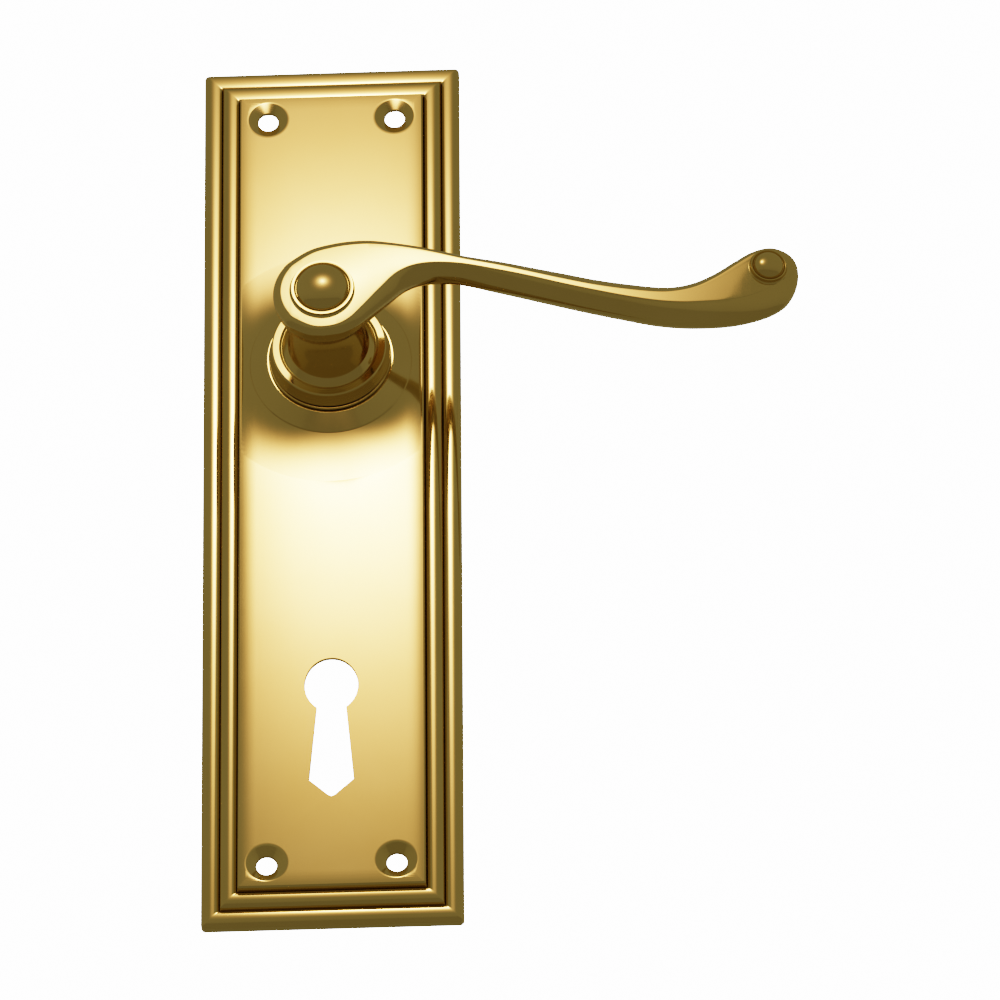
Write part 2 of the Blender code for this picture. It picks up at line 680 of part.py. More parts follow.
def build_drive_cam(material):
    start = LUG_ANGLE + LUG_HALF_ANGLE
    outline = arc(CAM_RADIUS, start, start + 360 - 2 * LUG_HALF_ANGLE, 36)
    outline += arc(LUG_RADIUS, LUG_ANGLE - LUG_HALF_ANGLE, LUG_ANGLE + LUG_HALF_ANGLE, 4)
    cam = add_object("drive_cam", prism(outline, CAM_BACK, CAM_FRONT), material)
    flat = FLAT_OFFSET + GAP
    radius = TAIL_RADIUS + GAP
    corner = math.degrees(math.acos(flat / radius))
    hole = arc(radius, corner, 180 - corner, 12) + arc(radius, 180 + corner, 360 - corner, 12)
    cut(cam, "cut_cam_hole", prism(hole, CAM_BACK - 1, CAM_FRONT + 1))
    post = cylinder(POST_RADIUS, -2.6, 0.0, polar(PIN_ORBIT, LUG_ANGLE), 14)
    combine(cam, add_object("join_post", post), 'UNION')
    return cam


def spring_path():
    """Torsion spring: moving leg, coil and fixed leg, with a small bend at each leg's root."""
    first = moving_leg_angle()
    turns_end = 360.0 * 2 + fixed_leg_angle()
    bend_angle = math.degrees(LEG_BEND / COIL_RADIUS)
    middle = COIL_RADIUS + LEG_BEND

    def local(radial, sideways, degrees, height):
        x, z = polar(1.0, degrees)
        return (radial * x - sideways * z, height, radial * z + sideways * x)

    path = [local(LEG_RADIUS, 0.0, first, COIL_FRONT)]
    for k in range(4):
        turn = math.radians(30.0 * k)
        path.append(local(middle - LEG_BEND * math.sin(turn), LEG_BEND - LEG_BEND * math.cos(turn),
                          first, COIL_FRONT))
    start = first + bend_angle
    end = turns_end - bend_angle
    steps = 34
    for k in range(1, steps):
        share = k / steps
        x, z = polar(COIL_RADIUS, start + (end - start) * share)
        path.append((x, COIL_FRONT + (COIL_BACK - COIL_FRONT) * share, z))
    for k in range(4):
        turn = math.radians(30.0 * k)
        path.append(local(middle - LEG_BEND * math.cos(turn), LEG_BEND * math.sin(turn) - LEG_BEND,
                          turns_end, COIL_BACK))
    path.append(local(LEG_RADIUS, 0.0, turns_end, COIL_BACK))
    return path


def build_return_spring(material):
    return add_object("return_spring", swept_wire(spring_path(), WIRE_RADIUS), material)


def build_wave_washer(material):
    middle = -6.95
    half_thickness = 0.15
    wave = 0.2
    steps = 48
    vertices = []
    for radius, side in ((7.9, 1), (10.6, 1), (10.6, -1), (7.9, -1)):
        for k in range(steps):
            angle = 360.0 * k / steps
            x, z = polar(radius, angle)
            height = middle + side * half_thickness + wave * math.cos(math.radians(3 * angle))
            vertices.append(point(x, height, z))
    faces = []
    for row in range(4):
        for k in range(steps):
            following = (k + 1) % steps
            upper = (row + 1) % 4 * steps
            faces.append((row * steps + k, row * steps + following, upper + following, upper + k))
    return add_object("wave_washer", (vertices, faces), material)


def build_thrust_washer(material):
    profile = [(7.8, -7.6), (10.9, -7.6), (10.9, -8.2), (7.8, -8.2)]
    return add_object("thrust_washer", turned(profile), material)


def build_circlip(material):
    """Open ring, thickest opposite its gap, with an ear at each end."""
    inner = GROOVE_RADIUS + GAP
    half_gap = 26.0
    ear = 9.0
    body = arc(inner, -90 + half_gap, 270 - half_gap, 32)
    outer = []
    for k in range(33):
        share = 2.0 * k / 32 - 1
        angle = 90 - share * (180 - half_gap)
        from_end = (1 - abs(share)) * (180 - half_gap)
        radius = 10.2 if from_end < ear else 9.2 - 0.6 * abs(share)
        outer.append(polar(radius, angle))
    return add_object("circlip", prism(body + outer, -9.3, -8.5), material)


def build_spindle(material):
    half = SPINDLE_SIZE / 2
    inside = half - SPINDLE_CHAMFER
    outline = [(half, -inside), (half, inside), (inside, half), (-inside, half),
               (-half, inside), (-half, -inside), (-inside, -half), (inside, -half)]
    return add_object("spindle", prism(outline, SPINDLE_BACK, SPINDLE_FRONT), material)


def main():
    clear_scene()
    brass = make_material("polished_brass", (0.80, 0.60, 0.27), 1.0, 0.12)
    cast = make_material("cast_brass", (0.78, 0.58, 0.26), 1.0, 0.16)
    nylon = make_material("nylon", (0.85, 0.84, 0.80), 0.0, 0.5)
    steel = make_material("zinc_plated_steel", (0.62, 0.63, 0.64), 1.0, 0.35)
    spring_steel = make_material("spring_steel", (0.35, 0.34, 0.33), 1.0, 0.3)

    build_backplate(cast)
    build_seat_ring(brass)
    build_neck_bush(nylon)
    build_spring_housing(steel)
    build_spring_cover(steel)
    build_housing_screws(steel)
    build_pins(steel)
    build_wave_washer(spring_steel)
    build_return_spring(spring_steel)

    pivot = bpy.data.objects.new("lever_pivot", None)
    bpy.context.scene.collection.objects.link(pivot)
    moving = [build_lever_neck(brass), build_lever_arm(cast), build_drive_cam(steel),
              build_thrust_washer(steel), build_circlip(spring_steel), build_spindle(steel)]
    moving += build_buttons(brass)
    for piece in moving:
        piece.parent = pivot


main()
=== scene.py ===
"""Looks of the scroll lever handle: fine meshes, polished brass and a plain studio.

The object's frame: metres, +X along the lever's arm, +Z up, +Y into the door, with the origin on
the spindle axis in the plane of the door's face. Sizes below are in millimetres, and a height is
the distance that a point stands out from the door. The shapes follow the same dimensions as the
CAD parts that they stand for, with finer steps, rounded edges and the finish of each surface.
"""
import math

import bmesh
import bpy
from mathutils import Matrix, Vector


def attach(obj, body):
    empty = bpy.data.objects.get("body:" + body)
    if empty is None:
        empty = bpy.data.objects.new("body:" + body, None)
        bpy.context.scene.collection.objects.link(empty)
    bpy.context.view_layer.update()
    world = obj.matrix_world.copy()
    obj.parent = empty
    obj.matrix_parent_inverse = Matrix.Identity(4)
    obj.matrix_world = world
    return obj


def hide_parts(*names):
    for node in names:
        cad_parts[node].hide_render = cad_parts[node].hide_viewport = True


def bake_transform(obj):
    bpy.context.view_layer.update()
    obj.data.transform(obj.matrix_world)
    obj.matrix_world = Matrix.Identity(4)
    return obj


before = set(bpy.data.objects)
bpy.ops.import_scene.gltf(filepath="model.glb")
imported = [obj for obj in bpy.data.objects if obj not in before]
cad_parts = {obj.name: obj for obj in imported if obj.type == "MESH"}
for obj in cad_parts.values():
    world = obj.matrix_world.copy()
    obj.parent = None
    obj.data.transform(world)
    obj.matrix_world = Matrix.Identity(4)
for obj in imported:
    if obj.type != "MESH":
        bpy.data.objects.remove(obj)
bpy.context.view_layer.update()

MM = 0.001
ROUND_STEPS = 144             # sides of a turned piece
PLATE_SHARP_ANGLE = 24.0
ARM_SHARP_ANGLE = 20.0
SEAT = 0.03                   # how closely pieces that touch are drawn together
RING_GAP = 0.25               # the seat ring floats between the boss and the flange

# Backplate
PLATE_WIDTH = 50.0
PLATE_TOP = 69.0
PLATE_BOTTOM = -121.0
PLATE_CORNER = 0.9
FIELD_HEIGHT = 4.8
ROLL_START = 7.4              # the field's edge is polished over, from here
ROLL_WIDTH = 3.2
ROLL_DEPTH = 0.14
HOLLOW_RIM = 3.5              # the casting is hollow behind, in two steps
HOLLOW_RIM_HEIGHT = 0.8
HOLLOW_INSET = 7.8
HOLLOW_HEIGHT = 2.6
RIB_WIDTH = 2.0
RIB_LEVELS = (36.0, -40.0)
SCREW_X = 12.4
SCREW_LEVELS = (56.8, -108.8)
SCREW_RADIUS = 1.95
SCREW_LAND_BACK = 3.1
SCREW_LAND_FRONT = 3.6
COUNTERSINK_RADIUS = 3.7
COUNTERBORE_RADIUS = 3.8
PILLAR_RADIUS = 5.2
BORE_RADIUS = 9.2

# Boss cast round the neck
BOSS_STEP = 0.25
SKIRT_MARGIN = 1.5            # the outermost ring is too low to matter
SKIRT_RADIUS = 27.0           # where the skirt runs out into the field
SKIRT_RISE = 1.0
SKIRT_POWER = 2.2
CURL_RISE = 0.5               # the skirt turns up more steeply next to the boss
CURL_POWER = 4.5
SKIRT_HALF_WIDTH = 17.4       # the field's long edges cut the skirt off
BOSS_RADIUS = 15.7
BOSS_TOP_RADIUS = 12.2
BOSS_TOP = 8.25

# Keyhole
KEY_LEVEL = -70.5
KEY_HALF_WIDTH = 5.1
KEY_HALF_HEIGHT = 5.8
KEY_WAIST_ANGLE = 56.7
KEY_FOOT_HALF_WIDTH = 4.25
KEY_FOOT_LEVEL = -91.1
KEY_TIP_LEVEL = -94.7
KEY_RELIEF = 2.6              # the keyhole widens behind its lip
KEY_WALL = 3.9

# Neck and arm
FLANGE_RADIUS = 11.7
FLANGE_LIP_RADIUS = 11.05
FLANGE_BACK = 9.4
FLANGE_FRONT = 12.9
NECK_SHOULDER = 28.6
NECK_SHANK_RADIUS = 8.2
SPIGOT_RADIUS = 4.7
SPIGOT_TOP = 31.6
TAIL_RADIUS = 7.4
TAIL_END = -10.2
FLAT_OFFSET = 6.4
FLAT_START = 1.0
STEM_RADIUS = 1.6
SPINDLE_SIZE = 8.0
SOCKET_FRONT = 15.0
SOCKET_GAP = 0.15
FACE_HEIGHT = 33.9
HUB_RADIUS = 8.1
HUB_FLARE = 1.5
RETURN_START = 50.0
RETURN_RATE = 0.00243
SCROLL_CENTRE = (85.5, 3.9)

# Stations along the arm: the face's upper edge (x, z) and lower edge (x, z), how far the side
# flares out past each edge, the depth of that flare, and how far the back edge stands out.
ARM_STATIONS = (
    ((1.8, 9.45), (2.1, -7.82), 1.5, 1.5, 1.6, 0.3),
    ((5.4, 10.0), (5.0, -6.38), 1.5, 1.6, 1.7, 0.3),
    ((9.0, 10.1), (7.6, -3.7), 1.5, 1.9, 1.9, 0.3),
    ((13.0, 9.65), (11.0, 0.2), 1.5, 2.4, 2.3, 0.2),
    ((17.5, 8.8), (14.6, 3.75), 1.6, 2.6, 2.8, 0.1),
    ((22.0, 7.65), (19.2, 5.4), 1.7, 2.4, 3.1, -0.1),
    ((27.0, 6.2), (26.0, 5.2), 1.8, 2.3, 3.2, -0.2),
    ((34.0, 4.5), (34.0, 3.4), 2.0, 2.8, 3.2, -0.3),
    ((40.0, 2.8), (40.0, 1.8), 2.2, 3.0, 3.2, -0.3),
    ((46.0, 1.1), (46.0, 0.0), 2.4, 3.0, 3.2, -0.3),
    ((52.0, -0.45), (52.0, -1.65), 2.4, 3.1, 3.2, -0.3),
    ((58.0, -1.55), (58.0, -3.1), 2.4, 3.2, 3.2, -0.4),
    ((64.0, -2.2), (64.0, -4.15), 2.3, 3.5, 3.2, -0.5),
    ((68.0, -1.95), (69.0, -4.45), 2.2, 3.7, 3.2, -0.6),
    ((72.0, -0.75), (73.5, -4.15), 2.1, 4.0, 3.1, -0.8),
    ((76.0, 1.65), (77.5, -3.7), 1.8, 4.1, 2.9, -0.9),
    ((80.0, 4.75), (81.0, -2.85), 1.6, 4.2, 2.6, -0.9),
    ((83.0, 6.9), (84.0, -1.5), 1.5, 4.3, 2.5, -0.8),
    ((86.0, 7.9), (86.5, 0.0), 1.4, 3.9, 2.4, -0.7),
    ((88.6, 7.1), (88.4, 1.4), 1.3, 2.8, 2.3, -0.6),
    ((89.9, 5.6), (89.6, 2.6), 1.1, 1.7, 2.2, -0.5),
    ((90.25, 4.0), (90.25, 4.0), 1.0, 1.0, 2.2, -0.5),
)
ARM_BACK_DEPTH = 3.7
HUB_ARC_ANGLES = (0, 12, 24, 36, 48)
CREASE_ANGLE = 30                     # the flare starts this far round from the face
FLARE_STEPS = 12
BACK_STEPS = 10
FACE_EDGE = 0.16                      # the face's crisp edge is polished over by this much
ACROSS_STEPS = 14
FACE_CROWN = 0.28

# Spring box
CUP_RADIUS = 15.0
CUP_WALL = 1.1
CUP_FRONT = 2.1
CUP_FLOOR_BACK = 1.3
CUP_BACK = -5.2
CUP_HOLE_RADIUS = 10.9
COVER_FRONT = -5.25
COVER_BACK = -6.3
EAR_SCREW_OFFSET = 17.8
EAR_HALF_WIDTH = 3.5
EAR_HOLE_RADIUS = 1.6
EAR_FOOT = 13.6               # the ear's straight sides end here, inside the cup
CAM_FRONT = 0.8
CAM_BACK = -0.8
CAM_RADIUS = 10.6
LUG_RADIUS = 13.2
LUG_ANGLE = 112.0
LUG_HALF_ANGLE = 9.0
POST_RADIUS = 0.8
PIN_RADIUS = 0.9
PIN_ORBIT = 12.2
PIN_GAP = 0.3
TURN_ANGLE = 45.0
WIRE_RADIUS = 0.6
COIL_RADIUS = 9.3
COIL_FRONT = -1.75
COIL_BACK = -4.55
COIL_TURNS = 2
LEG_RADIUS = 13.0
LEG_BEND = 1.2
FIXED_LEG_ANGLE = 78.0

# Studio
LIGHT_COLOUR = (1.05, 0.71, 0.37)
EDGE_COLOUR = (1.15, 0.65, 0.335)
ROOM_COLOUR = (1.0, 0.90, 0.56)
BACK_LIGHT_COLOUR = (1.0, 0.96, 0.9)
LAMP_SIZE = 0.26
SIDE_REACH = 7.7 * MM                 # sideways distance from which a lamp's power counts
SECOND_REFLECTION = 0.03              # share of a lamp that reflections of reflections show
CAMERA_YAW = 2.46
CAMERA_PITCH = 30.017                 # the camera looks up at the plate from below
CAMERA_ROLL = -0.441
CAMERA_DISTANCE = 2562.6
CAMERA_TARGET = (32.32, 0.0, -28.08)
CAMERA_LENS = 478.25
BACKDROP_STRENGTH = 9.0               # what the camera sees of the world and the floor
FLOOR_COLOUR = (0.97, 0.96, 0.94)
FLOOR_GLOW = 0.155
FLOOR_LEVEL = -4.0                    # metres
FLOOR_RADIUS = 12.0                   # metres


# ---- Points and outlines ----

def point(x, height, z):
    """World position of a point given in millimetres."""
    return (x * MM, -height * MM, z * MM)


def polar(radius, degrees):
    """X and Z of a point at a radius and angle about the spindle axis."""
    angle = math.radians(degrees)
    return (radius * math.cos(angle), radius * math.sin(angle))


def arc(radius, start, end, steps, centre=(0.0, 0.0)):
    spots = [polar(radius, start + (end - start) * k / steps) for k in range(steps + 1)]
    return [(centre[0] + x, centre[1] + z) for x, z in spots]


def softened(profile, radius, steps=4):
    """Open profile of 2-D points with each inner corner rounded to at most this radius."""
    result = [profile[0]]
    for before, corner, after in zip(profile, profile[1:], profile[2:]):
        a = Vector(before) - Vector(corner)
        b = Vector(after) - Vector(corner)
        if a.length < 1e-6 or b.length < 1e-6:
            result.append(corner)
            continue
        half = a.angle(b) / 2
        if half > math.radians(84):
            result.append(corner)
            continue
        reach = min(radius / math.tan(half), a.length * 0.45, b.length * 0.45)
        size = reach * math.tan(half)
        start = Vector(corner) + a.normalized() * reach
        end = Vector(corner) + b.normalized() * reach
        middle = Vector(corner) + (a.normalized() + b.normalized()).normalized() * (size / math.sin(half))
        first = start - middle
        last = end - middle
        spread = first.angle(last)
        for k in range(steps + 1):
            share = k / steps
            arm = (first * math.sin((1 - share) * spread) + last * math.sin(share * spread))
            result.append(tuple(middle + arm / math.sin(spread)))
    result.append(profile[-1])
    return result


def softened_ring(corners, radius, steps=4):
    """Closed profile with each corner rounded."""
    middle = tuple((Vector(corners[0]) + Vector(corners[-1])) / 2)
    return softened([middle] + list(corners) + [middle], radius, steps)[:-1]


# ---- Meshes ----

def new_object(name, shape, materials=(), sharp_angle=30.0):
    """Object from (vertices, faces), with its faces turned outwards and smooth shading."""
    vertices, faces = shape
    mesh = bpy.data.meshes.new(name)
    mesh.from_pydata(vertices, [], faces)
    builder = bmesh.new()
    builder.from_mesh(mesh)
    bmesh.ops.recalc_face_normals(builder, faces=builder.faces)
    builder.to_mesh(mesh)
    builder.free()
    mesh.shade_smooth()
    mesh.set_sharp_from_angle(angle=math.radians(sharp_angle))
    thing = bpy.data.objects.new(name, mesh)
    bpy.context.scene.collection.objects.link(thing)
    for material in materials:
        mesh.materials.append(material)
    return thing


def combine(target, tool, operation='DIFFERENCE'):
    """Boolean of target with a tool, an object or a shape, which settle removes after use."""
    if isinstance(tool, tuple):
        tool = new_object("tool", tool)
    step = target.modifiers.new("cut", 'BOOLEAN')
    step.object = tool
    step.operation = operation
    step.solver = 'EXACT'
    return tool


def settle(thing, tools, sharp_angle=30.0):
    """Applies the booleans, removes their tools and marks the sharp edges again."""
    bpy.context.view_layer.update()
    depsgraph = bpy.context.evaluated_depsgraph_get()
    mesh = bpy.data.meshes.new_from_object(thing.evaluated_get(depsgraph), depsgraph=depsgraph)
    mesh.name = thing.name
    thing.modifiers.clear()
    thing.data = mesh
    for tool in tools:
        bpy.data.objects.remove(tool)
    mesh.shade_smooth()
    mesh.set_sharp_from_angle(angle=math.radians(sharp_angle))
    return thing


def finish_piece(thing, body, slot, *nodes):
    """Flat faces keep their own normal; the piece rides on its body for its CAD nodes."""
    weighted = thing.modifiers.new("weighted", 'WEIGHTED_NORMAL')
    weighted.keep_sharp = True
    weighted.weight = 90
    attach(thing, body)
    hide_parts(*nodes)
    return thing


def placed(name, shape, material, body, slot, node, cuts=(), joins=()):
    """Fine piece, cut and joined, that rides on its body for one CAD node."""
    thing = new_object(name, shape, (material,))
    tools = [combine(thing, join, 'UNION') for join in joins]
    tools += [combine(thing, hole) for hole in cuts]
    if tools:
        settle(thing, tools)
    return finish_piece(thing, body, slot, node)


def turned(profile, centre=(0.0, 0.0), steps=ROUND_STEPS):
    """Profile of (radius, height) points turned about an axis that runs into the door."""
    vertices = []
    rings = []
    for radius, height in profile:
        count = steps if radius > 1e-6 else 1
        rings.append(range(len(vertices), len(vertices) + count))
        for k in range(count):
            x, z = polar(radius, 360.0 * k / steps)
            vertices.append(point(centre[0] + x, height, centre[1] + z))
    pairs = list(zip(rings, rings[1:]))
    if profile[0][0] > 1e-6:
        pairs.append((rings[-1], rings[0]))
    faces = []
    for first, second in pairs:
        for k in range(steps):
            following = (k + 1) % steps
            loop = (first[k % len(first)], first[following % len(first)],
                    second[following % len(second)], second[k % len(second)])
            faces.append(tuple(dict.fromkeys(loop)))
    return vertices, faces


def side_faces(count, rows, closed=False):
    """Faces between rows of count points, and from the last row to the first if closed."""
    faces = []
    for row in range(rows if closed else rows - 1):
        upper = (row + 1) % rows * count
        for k in range(count):
            following = (k + 1) % count
            faces.append((row * count + k, row * count + following, upper + following, upper + k))
    return faces


def stacked(loops):
    """Closed solid through loops of the same number of points."""
    count = len(loops[0])
    vertices = [vertex for loop in loops for vertex in loop]
    ends = [tuple(range(count)), tuple(range(len(vertices) - count, len(vertices)))]
    return vertices, ends + side_faces(count, len(loops))


def prism(outline, back, front):
    return stacked([[point(x, height, z) for x, z in outline] for height in (back, front)])


def cylinder(radius, back, front, centre=(0.0, 0.0), steps=ROUND_STEPS):
    return turned([(0, back), (radius, back), (radius, front), (0, front)], centre, steps)


def rectangle(x_low, x_high, z_low, z_high):
    return [(x_low, z_low), (x_high, z_low), (x_high, z_high), (x_low, z_high)]


def rounded_box(x_low, x_high, z_low, z_high, radius, steps=6):
    corners = [((x_high, z_high), 0), ((x_low, z_high), 90), ((x_low, z_low), 180), ((x_high, z_low), 270)]
    outline = []
    for (x, z), start in corners:
        inside = (x - math.copysign(radius, x - (x_low + x_high) / 2),
                  z - math.copysign(radius, z - (z_low + z_high) / 2))
        outline += arc(radius, start, start + 90, steps, inside)
    return outline


# ---- Materials ----

class Nodes:
    """Short way to write a material's node tree."""

    def __init__(self, name):
        self.material = bpy.data.materials.new(name)
        self.material.use_nodes = True
        self.tree = self.material.node_tree
        self.shader = self.tree.nodes["Principled BSDF"]
        self.place = self.add("ShaderNodeTexCoord").outputs["Object"]

    def add(self, kind, **values):
        node = self.tree.nodes.new(kind)
        for key, value in values.items():
            setattr(node, key, value)
        return node

    def link(self, source, target):
        self.tree.links.new(source, target)

    def stretched(self, scale):
        mapping = self.add("ShaderNodeMapping")
        mapping.inputs["Scale"].default_value = scale
        self.link(self.place, mapping.inputs["Vector"])
        return mapping.outputs["Vector"]

    def noise(self, scale, detail=3.0, roughness=0.5, stretch=None):
        node = self.add("ShaderNodeTexNoise")
        node.inputs["Scale"].default_value = scale
        node.inputs["Detail"].default_value = detail
        node.inputs["Roughness"].default_value = roughness
        self.link(self.stretched(stretch) if stretch else self.place, node.inputs["Vector"])
        return node.outputs["Fac"]

    def ranged(self, value, low, high, new_low, new_high):
        node = self.add("ShaderNodeMapRange")
        node.inputs["From Min"].default_value = low
        node.inputs["From Max"].default_value = high
        node.inputs["To Min"].default_value = new_low
        node.inputs["To Max"].default_value = new_high
        self.link(value, node.inputs["Value"])
        return node.outputs["Result"]

    def added(self, first, second):
        node = self.add("ShaderNodeMath", operation='ADD')
        self.link(first, node.inputs[0])
        self.link(second, node.inputs[1])
        return node.outputs["Value"]

    def mixed(self, share, first, second):
        node = self.add("ShaderNodeMix", data_type='RGBA')
        self.link(share, node.inputs["Factor"])
        for socket, value in ((node.inputs[6], first), (node.inputs[7], second)):
            if isinstance(value, tuple):
                socket.default_value = (*value, 1.0)
            else:
                self.link(value, socket)
        return node.outputs[2]

    def bump(self, height, distance, strength, before=None):
        node = self.add("ShaderNodeBump")
        node.inputs["Distance"].default_value = distance
        node.inputs["Strength"].default_value = strength
        self.link(height, node.inputs["Height"])
        if before:
            self.link(before, node.inputs["Normal"])
        return node.outputs["Normal"]

    def finish(self, colour, roughness, normal, metallic):
        self.link(colour, self.shader.inputs["Base Color"])
        self.link(roughness, self.shader.inputs["Roughness"])
        self.link(normal, self.shader.inputs["Normal"])
        self.shader.inputs["Metallic"].default_value = metallic
        return self.material


def polished_brass(name, line_stretch, smoothness):
    """Mirror polish with faint buffing lines and smudges, and painted shade that darkens the colour in the
    recesses.
    """
    nodes = Nodes(name)
    patches = nodes.noise(45.0, 4.0)
    smudges = nodes.noise(160.0, 5.0, 0.6)
    lines = nodes.noise(1.0, 2.0, 0.6, line_stretch)
    waves = nodes.noise(70.0, 1.0, 0.4)
    # Painted shade: ambient occlusion mixes a darker brass into the grooves and recesses.
    shade_occlusion = nodes.add("ShaderNodeAmbientOcclusion", samples=12)
    shade_occlusion.inputs["Distance"].default_value = 0.9 * MM
    unshaded_share = nodes.ranged(shade_occlusion.outputs["AO"], 0.15, 0.6, 0.0, 1.0)
    metal = nodes.mixed(nodes.ranged(patches, 0.35, 0.65, 0.0, 1.0),
                        (0.760, 0.630, 0.340), (0.735, 0.600, 0.310))
    colour = nodes.mixed(unshaded_share, (0.60, 0.47, 0.22), metal)
    base = nodes.ranged(smudges, 0.35, 0.7, smoothness, smoothness + 0.045)
    rough = nodes.added(base, nodes.ranged(lines, 0.4, 0.75, 0.0, 0.03))
    normal = nodes.bump(waves, 0.03 * MM, 0.25)
    normal = nodes.bump(lines, 0.004 * MM, 0.25, normal)
    return nodes.finish(colour, rough, normal, 1.0)


def cast_back_brass():
    """The unpolished inside of the casting: sandy, dull and darker."""
    nodes = Nodes("cast_back_brass")
    grain = nodes.noise(1500.0, 4.0, 0.7)
    patches = nodes.noise(60.0, 4.0)
    colour = nodes.mixed(nodes.ranged(patches, 0.3, 0.7, 0.0, 1.0), (0.50, 0.31, 0.10), (0.36, 0.21, 0.065))
    normal = nodes.bump(grain, 0.12 * MM, 0.6)
    return nodes.finish(colour, nodes.ranged(grain, 0.3, 0.7, 0.38, 0.6), normal, 1.0)


def plated_steel():
    """Bright zinc plating with a faint yellow and blue tint and drawn marks."""
    nodes = Nodes("plated_steel")
    tint = nodes.noise(90.0, 3.0)
    marks = nodes.noise(1.0, 3.0, 0.6, (400.0, 400.0, 2600.0))
    colour = nodes.mixed(nodes.ranged(tint, 0.35, 0.65, 0.0, 1.0), (0.62, 0.62, 0.60), (0.55, 0.57, 0.62))
    rough = nodes.ranged(nodes.added(marks, nodes.noise(500.0, 4.0)), 0.7, 1.3, 0.24, 0.42)
    return nodes.finish(colour, rough, nodes.bump(marks, 0.01 * MM, 0.4), 1.0)


def spring_steel():
    nodes = Nodes("spring_steel")
    film = nodes.noise(220.0, 4.0)
    colour = nodes.mixed(nodes.ranged(film, 0.35, 0.7, 0.0, 1.0), (0.20, 0.19, 0.18), (0.11, 0.10, 0.10))
    rough = nodes.ranged(film, 0.3, 0.7, 0.25, 0.42)
    return nodes.finish(colour, rough, nodes.bump(nodes.noise(1600.0), 0.01 * MM, 0.4), 1.0)


def bar_steel():
    """Drawn bar: fine lines along its length, under a light film of oil."""
    nodes = Nodes("bar_steel")
    lines = nodes.noise(1.0, 4.0, 0.65, (2600.0, 25.0, 2600.0))
    film = nodes.noise(70.0, 4.0)
    colour = nodes.mixed(nodes.ranged(film, 0.35, 0.7, 0.0, 1.0), (0.46, 0.45, 0.44), (0.34, 0.32, 0.30))
    rough = nodes.ranged(nodes.added(lines, film), 0.7, 1.3, 0.22, 0.44)
    return nodes.finish(colour, rough, nodes.bump(lines, 0.02 * MM, 0.5), 1.0)


def moulded_nylon():
    nodes = Nodes("moulded_nylon")
    speckle = nodes.noise(900.0, 3.0)
    patches = nodes.noise(120.0, 3.0)
    colour = nodes.mixed(nodes.ranged(patches, 0.3, 0.7, 0.0, 1.0), (0.78, 0.76, 0.70), (0.70, 0.68, 0.61))
    return nodes.finish(colour, nodes.ranged(speckle, 0.3, 0.7, 0.38, 0.55),
                        nodes.bump(speckle, 0.02 * MM, 0.4), 0.0)


# ---- Backplate ----

def reed(inset_start, height_start, inset_end, height_end, bulge, steps=22):
    """Half-round moulding between two grooves, as (inset, height) points."""
    middle = (inset_start + inset_end) / 2
    half = (inset_end - inset_start) / 2
    spots = []
    for k in range(steps + 1):
        angle = math.pi * k / steps
        share = k / steps
        base = height_start + (height_end - height_start) * share
        spots.append((middle - half * math.cos(angle), base + bulge * math.sin(angle)))
    return spots


def plate_outline(inset, steps=8):
    """Rectangle with rounded corners, at an inset from the plate's edge."""
    radius = max(PLATE_CORNER - inset, 0.25)
    half = PLATE_WIDTH / 2 - inset
    return rounded_box(-half, half, PLATE_BOTTOM + inset, PLATE_TOP - inset, radius, steps)


def field_roll(inset):
    """How far the polished-over edge lies below the field, at an inset from the plate's edge."""
    share = min(max((inset - ROLL_START) / ROLL_WIDTH, 0.0), 1.0)
    return ROLL_DEPTH * (1 - share) ** 2.4


def plate_section():
    """Back, edge, two stepped reeds and the raised field, whose edge is polished over softly."""
    section = [(0.15, 0.0), (0.0, 0.15)]
    section += reed(0.0, 1.5, 3.5, 1.8, 0.95)
    section += reed(3.7, 2.6, 6.9, 2.8, 0.85)
    section += softened([(6.95, 3.0), (7.1, 4.3), (ROLL_START, FIELD_HEIGHT - ROLL_DEPTH)], 0.35, 5)
    steps = 10
    for k in range(1, steps + 1):
        inset = ROLL_START + ROLL_WIDTH * k / steps
        section.append((inset, FIELD_HEIGHT - field_roll(inset)))
    return section


def keyhole_outline(wall=0.0, steps=64):
    """Keyhole, or its outline at a distance outside it."""
    half_width = KEY_HALF_WIDTH + wall
    half_height = KEY_HALF_HEIGHT + wall
    start = -KEY_WAIST_ANGLE
    end = 180 + KEY_WAIST_ANGLE
    outline = []
    for k in range(steps + 1):
        angle = math.radians(start + (end - start) * k / steps)
        outline.append((half_width * math.cos(angle), KEY_LEVEL + half_height * math.sin(angle)))
    foot = KEY_FOOT_HALF_WIDTH + wall
    tip = KEY_TIP_LEVEL - wall
    outline += [(-foot, KEY_FOOT_LEVEL), (-0.7, tip + 0.35), (0.0, tip), (0.7, tip + 0.35),
                (foot, KEY_FOOT_LEVEL)]
    return outline


def lipped_prism(outline_at, lip):
    """Cutter for a hole that widens at the back and whose front edge is rounded by a small lip."""
    loops = [[point(x, height, z) for x, z in outline_at(wall)]
             for wall, height in ((KEY_RELIEF, -1.0), (KEY_RELIEF, 2.0), (0.0, FIELD_HEIGHT - 0.7),
                                  (0.0, FIELD_HEIGHT - lip))]
    steps = 4
    for k in range(1, steps + 1):
        turn = math.radians(85.0 * k / steps)
        out = lip * (1 - math.cos(turn))
        height = FIELD_HEIGHT - lip + lip * math.sin(turn) + 0.002 * k
        loops.append([point(x, height, z) for x, z in outline_at(out)])
    loops.append([point(x, FIELD_HEIGHT + 1, z) for x, z in outline_at(lip)])
    return stacked(loops)


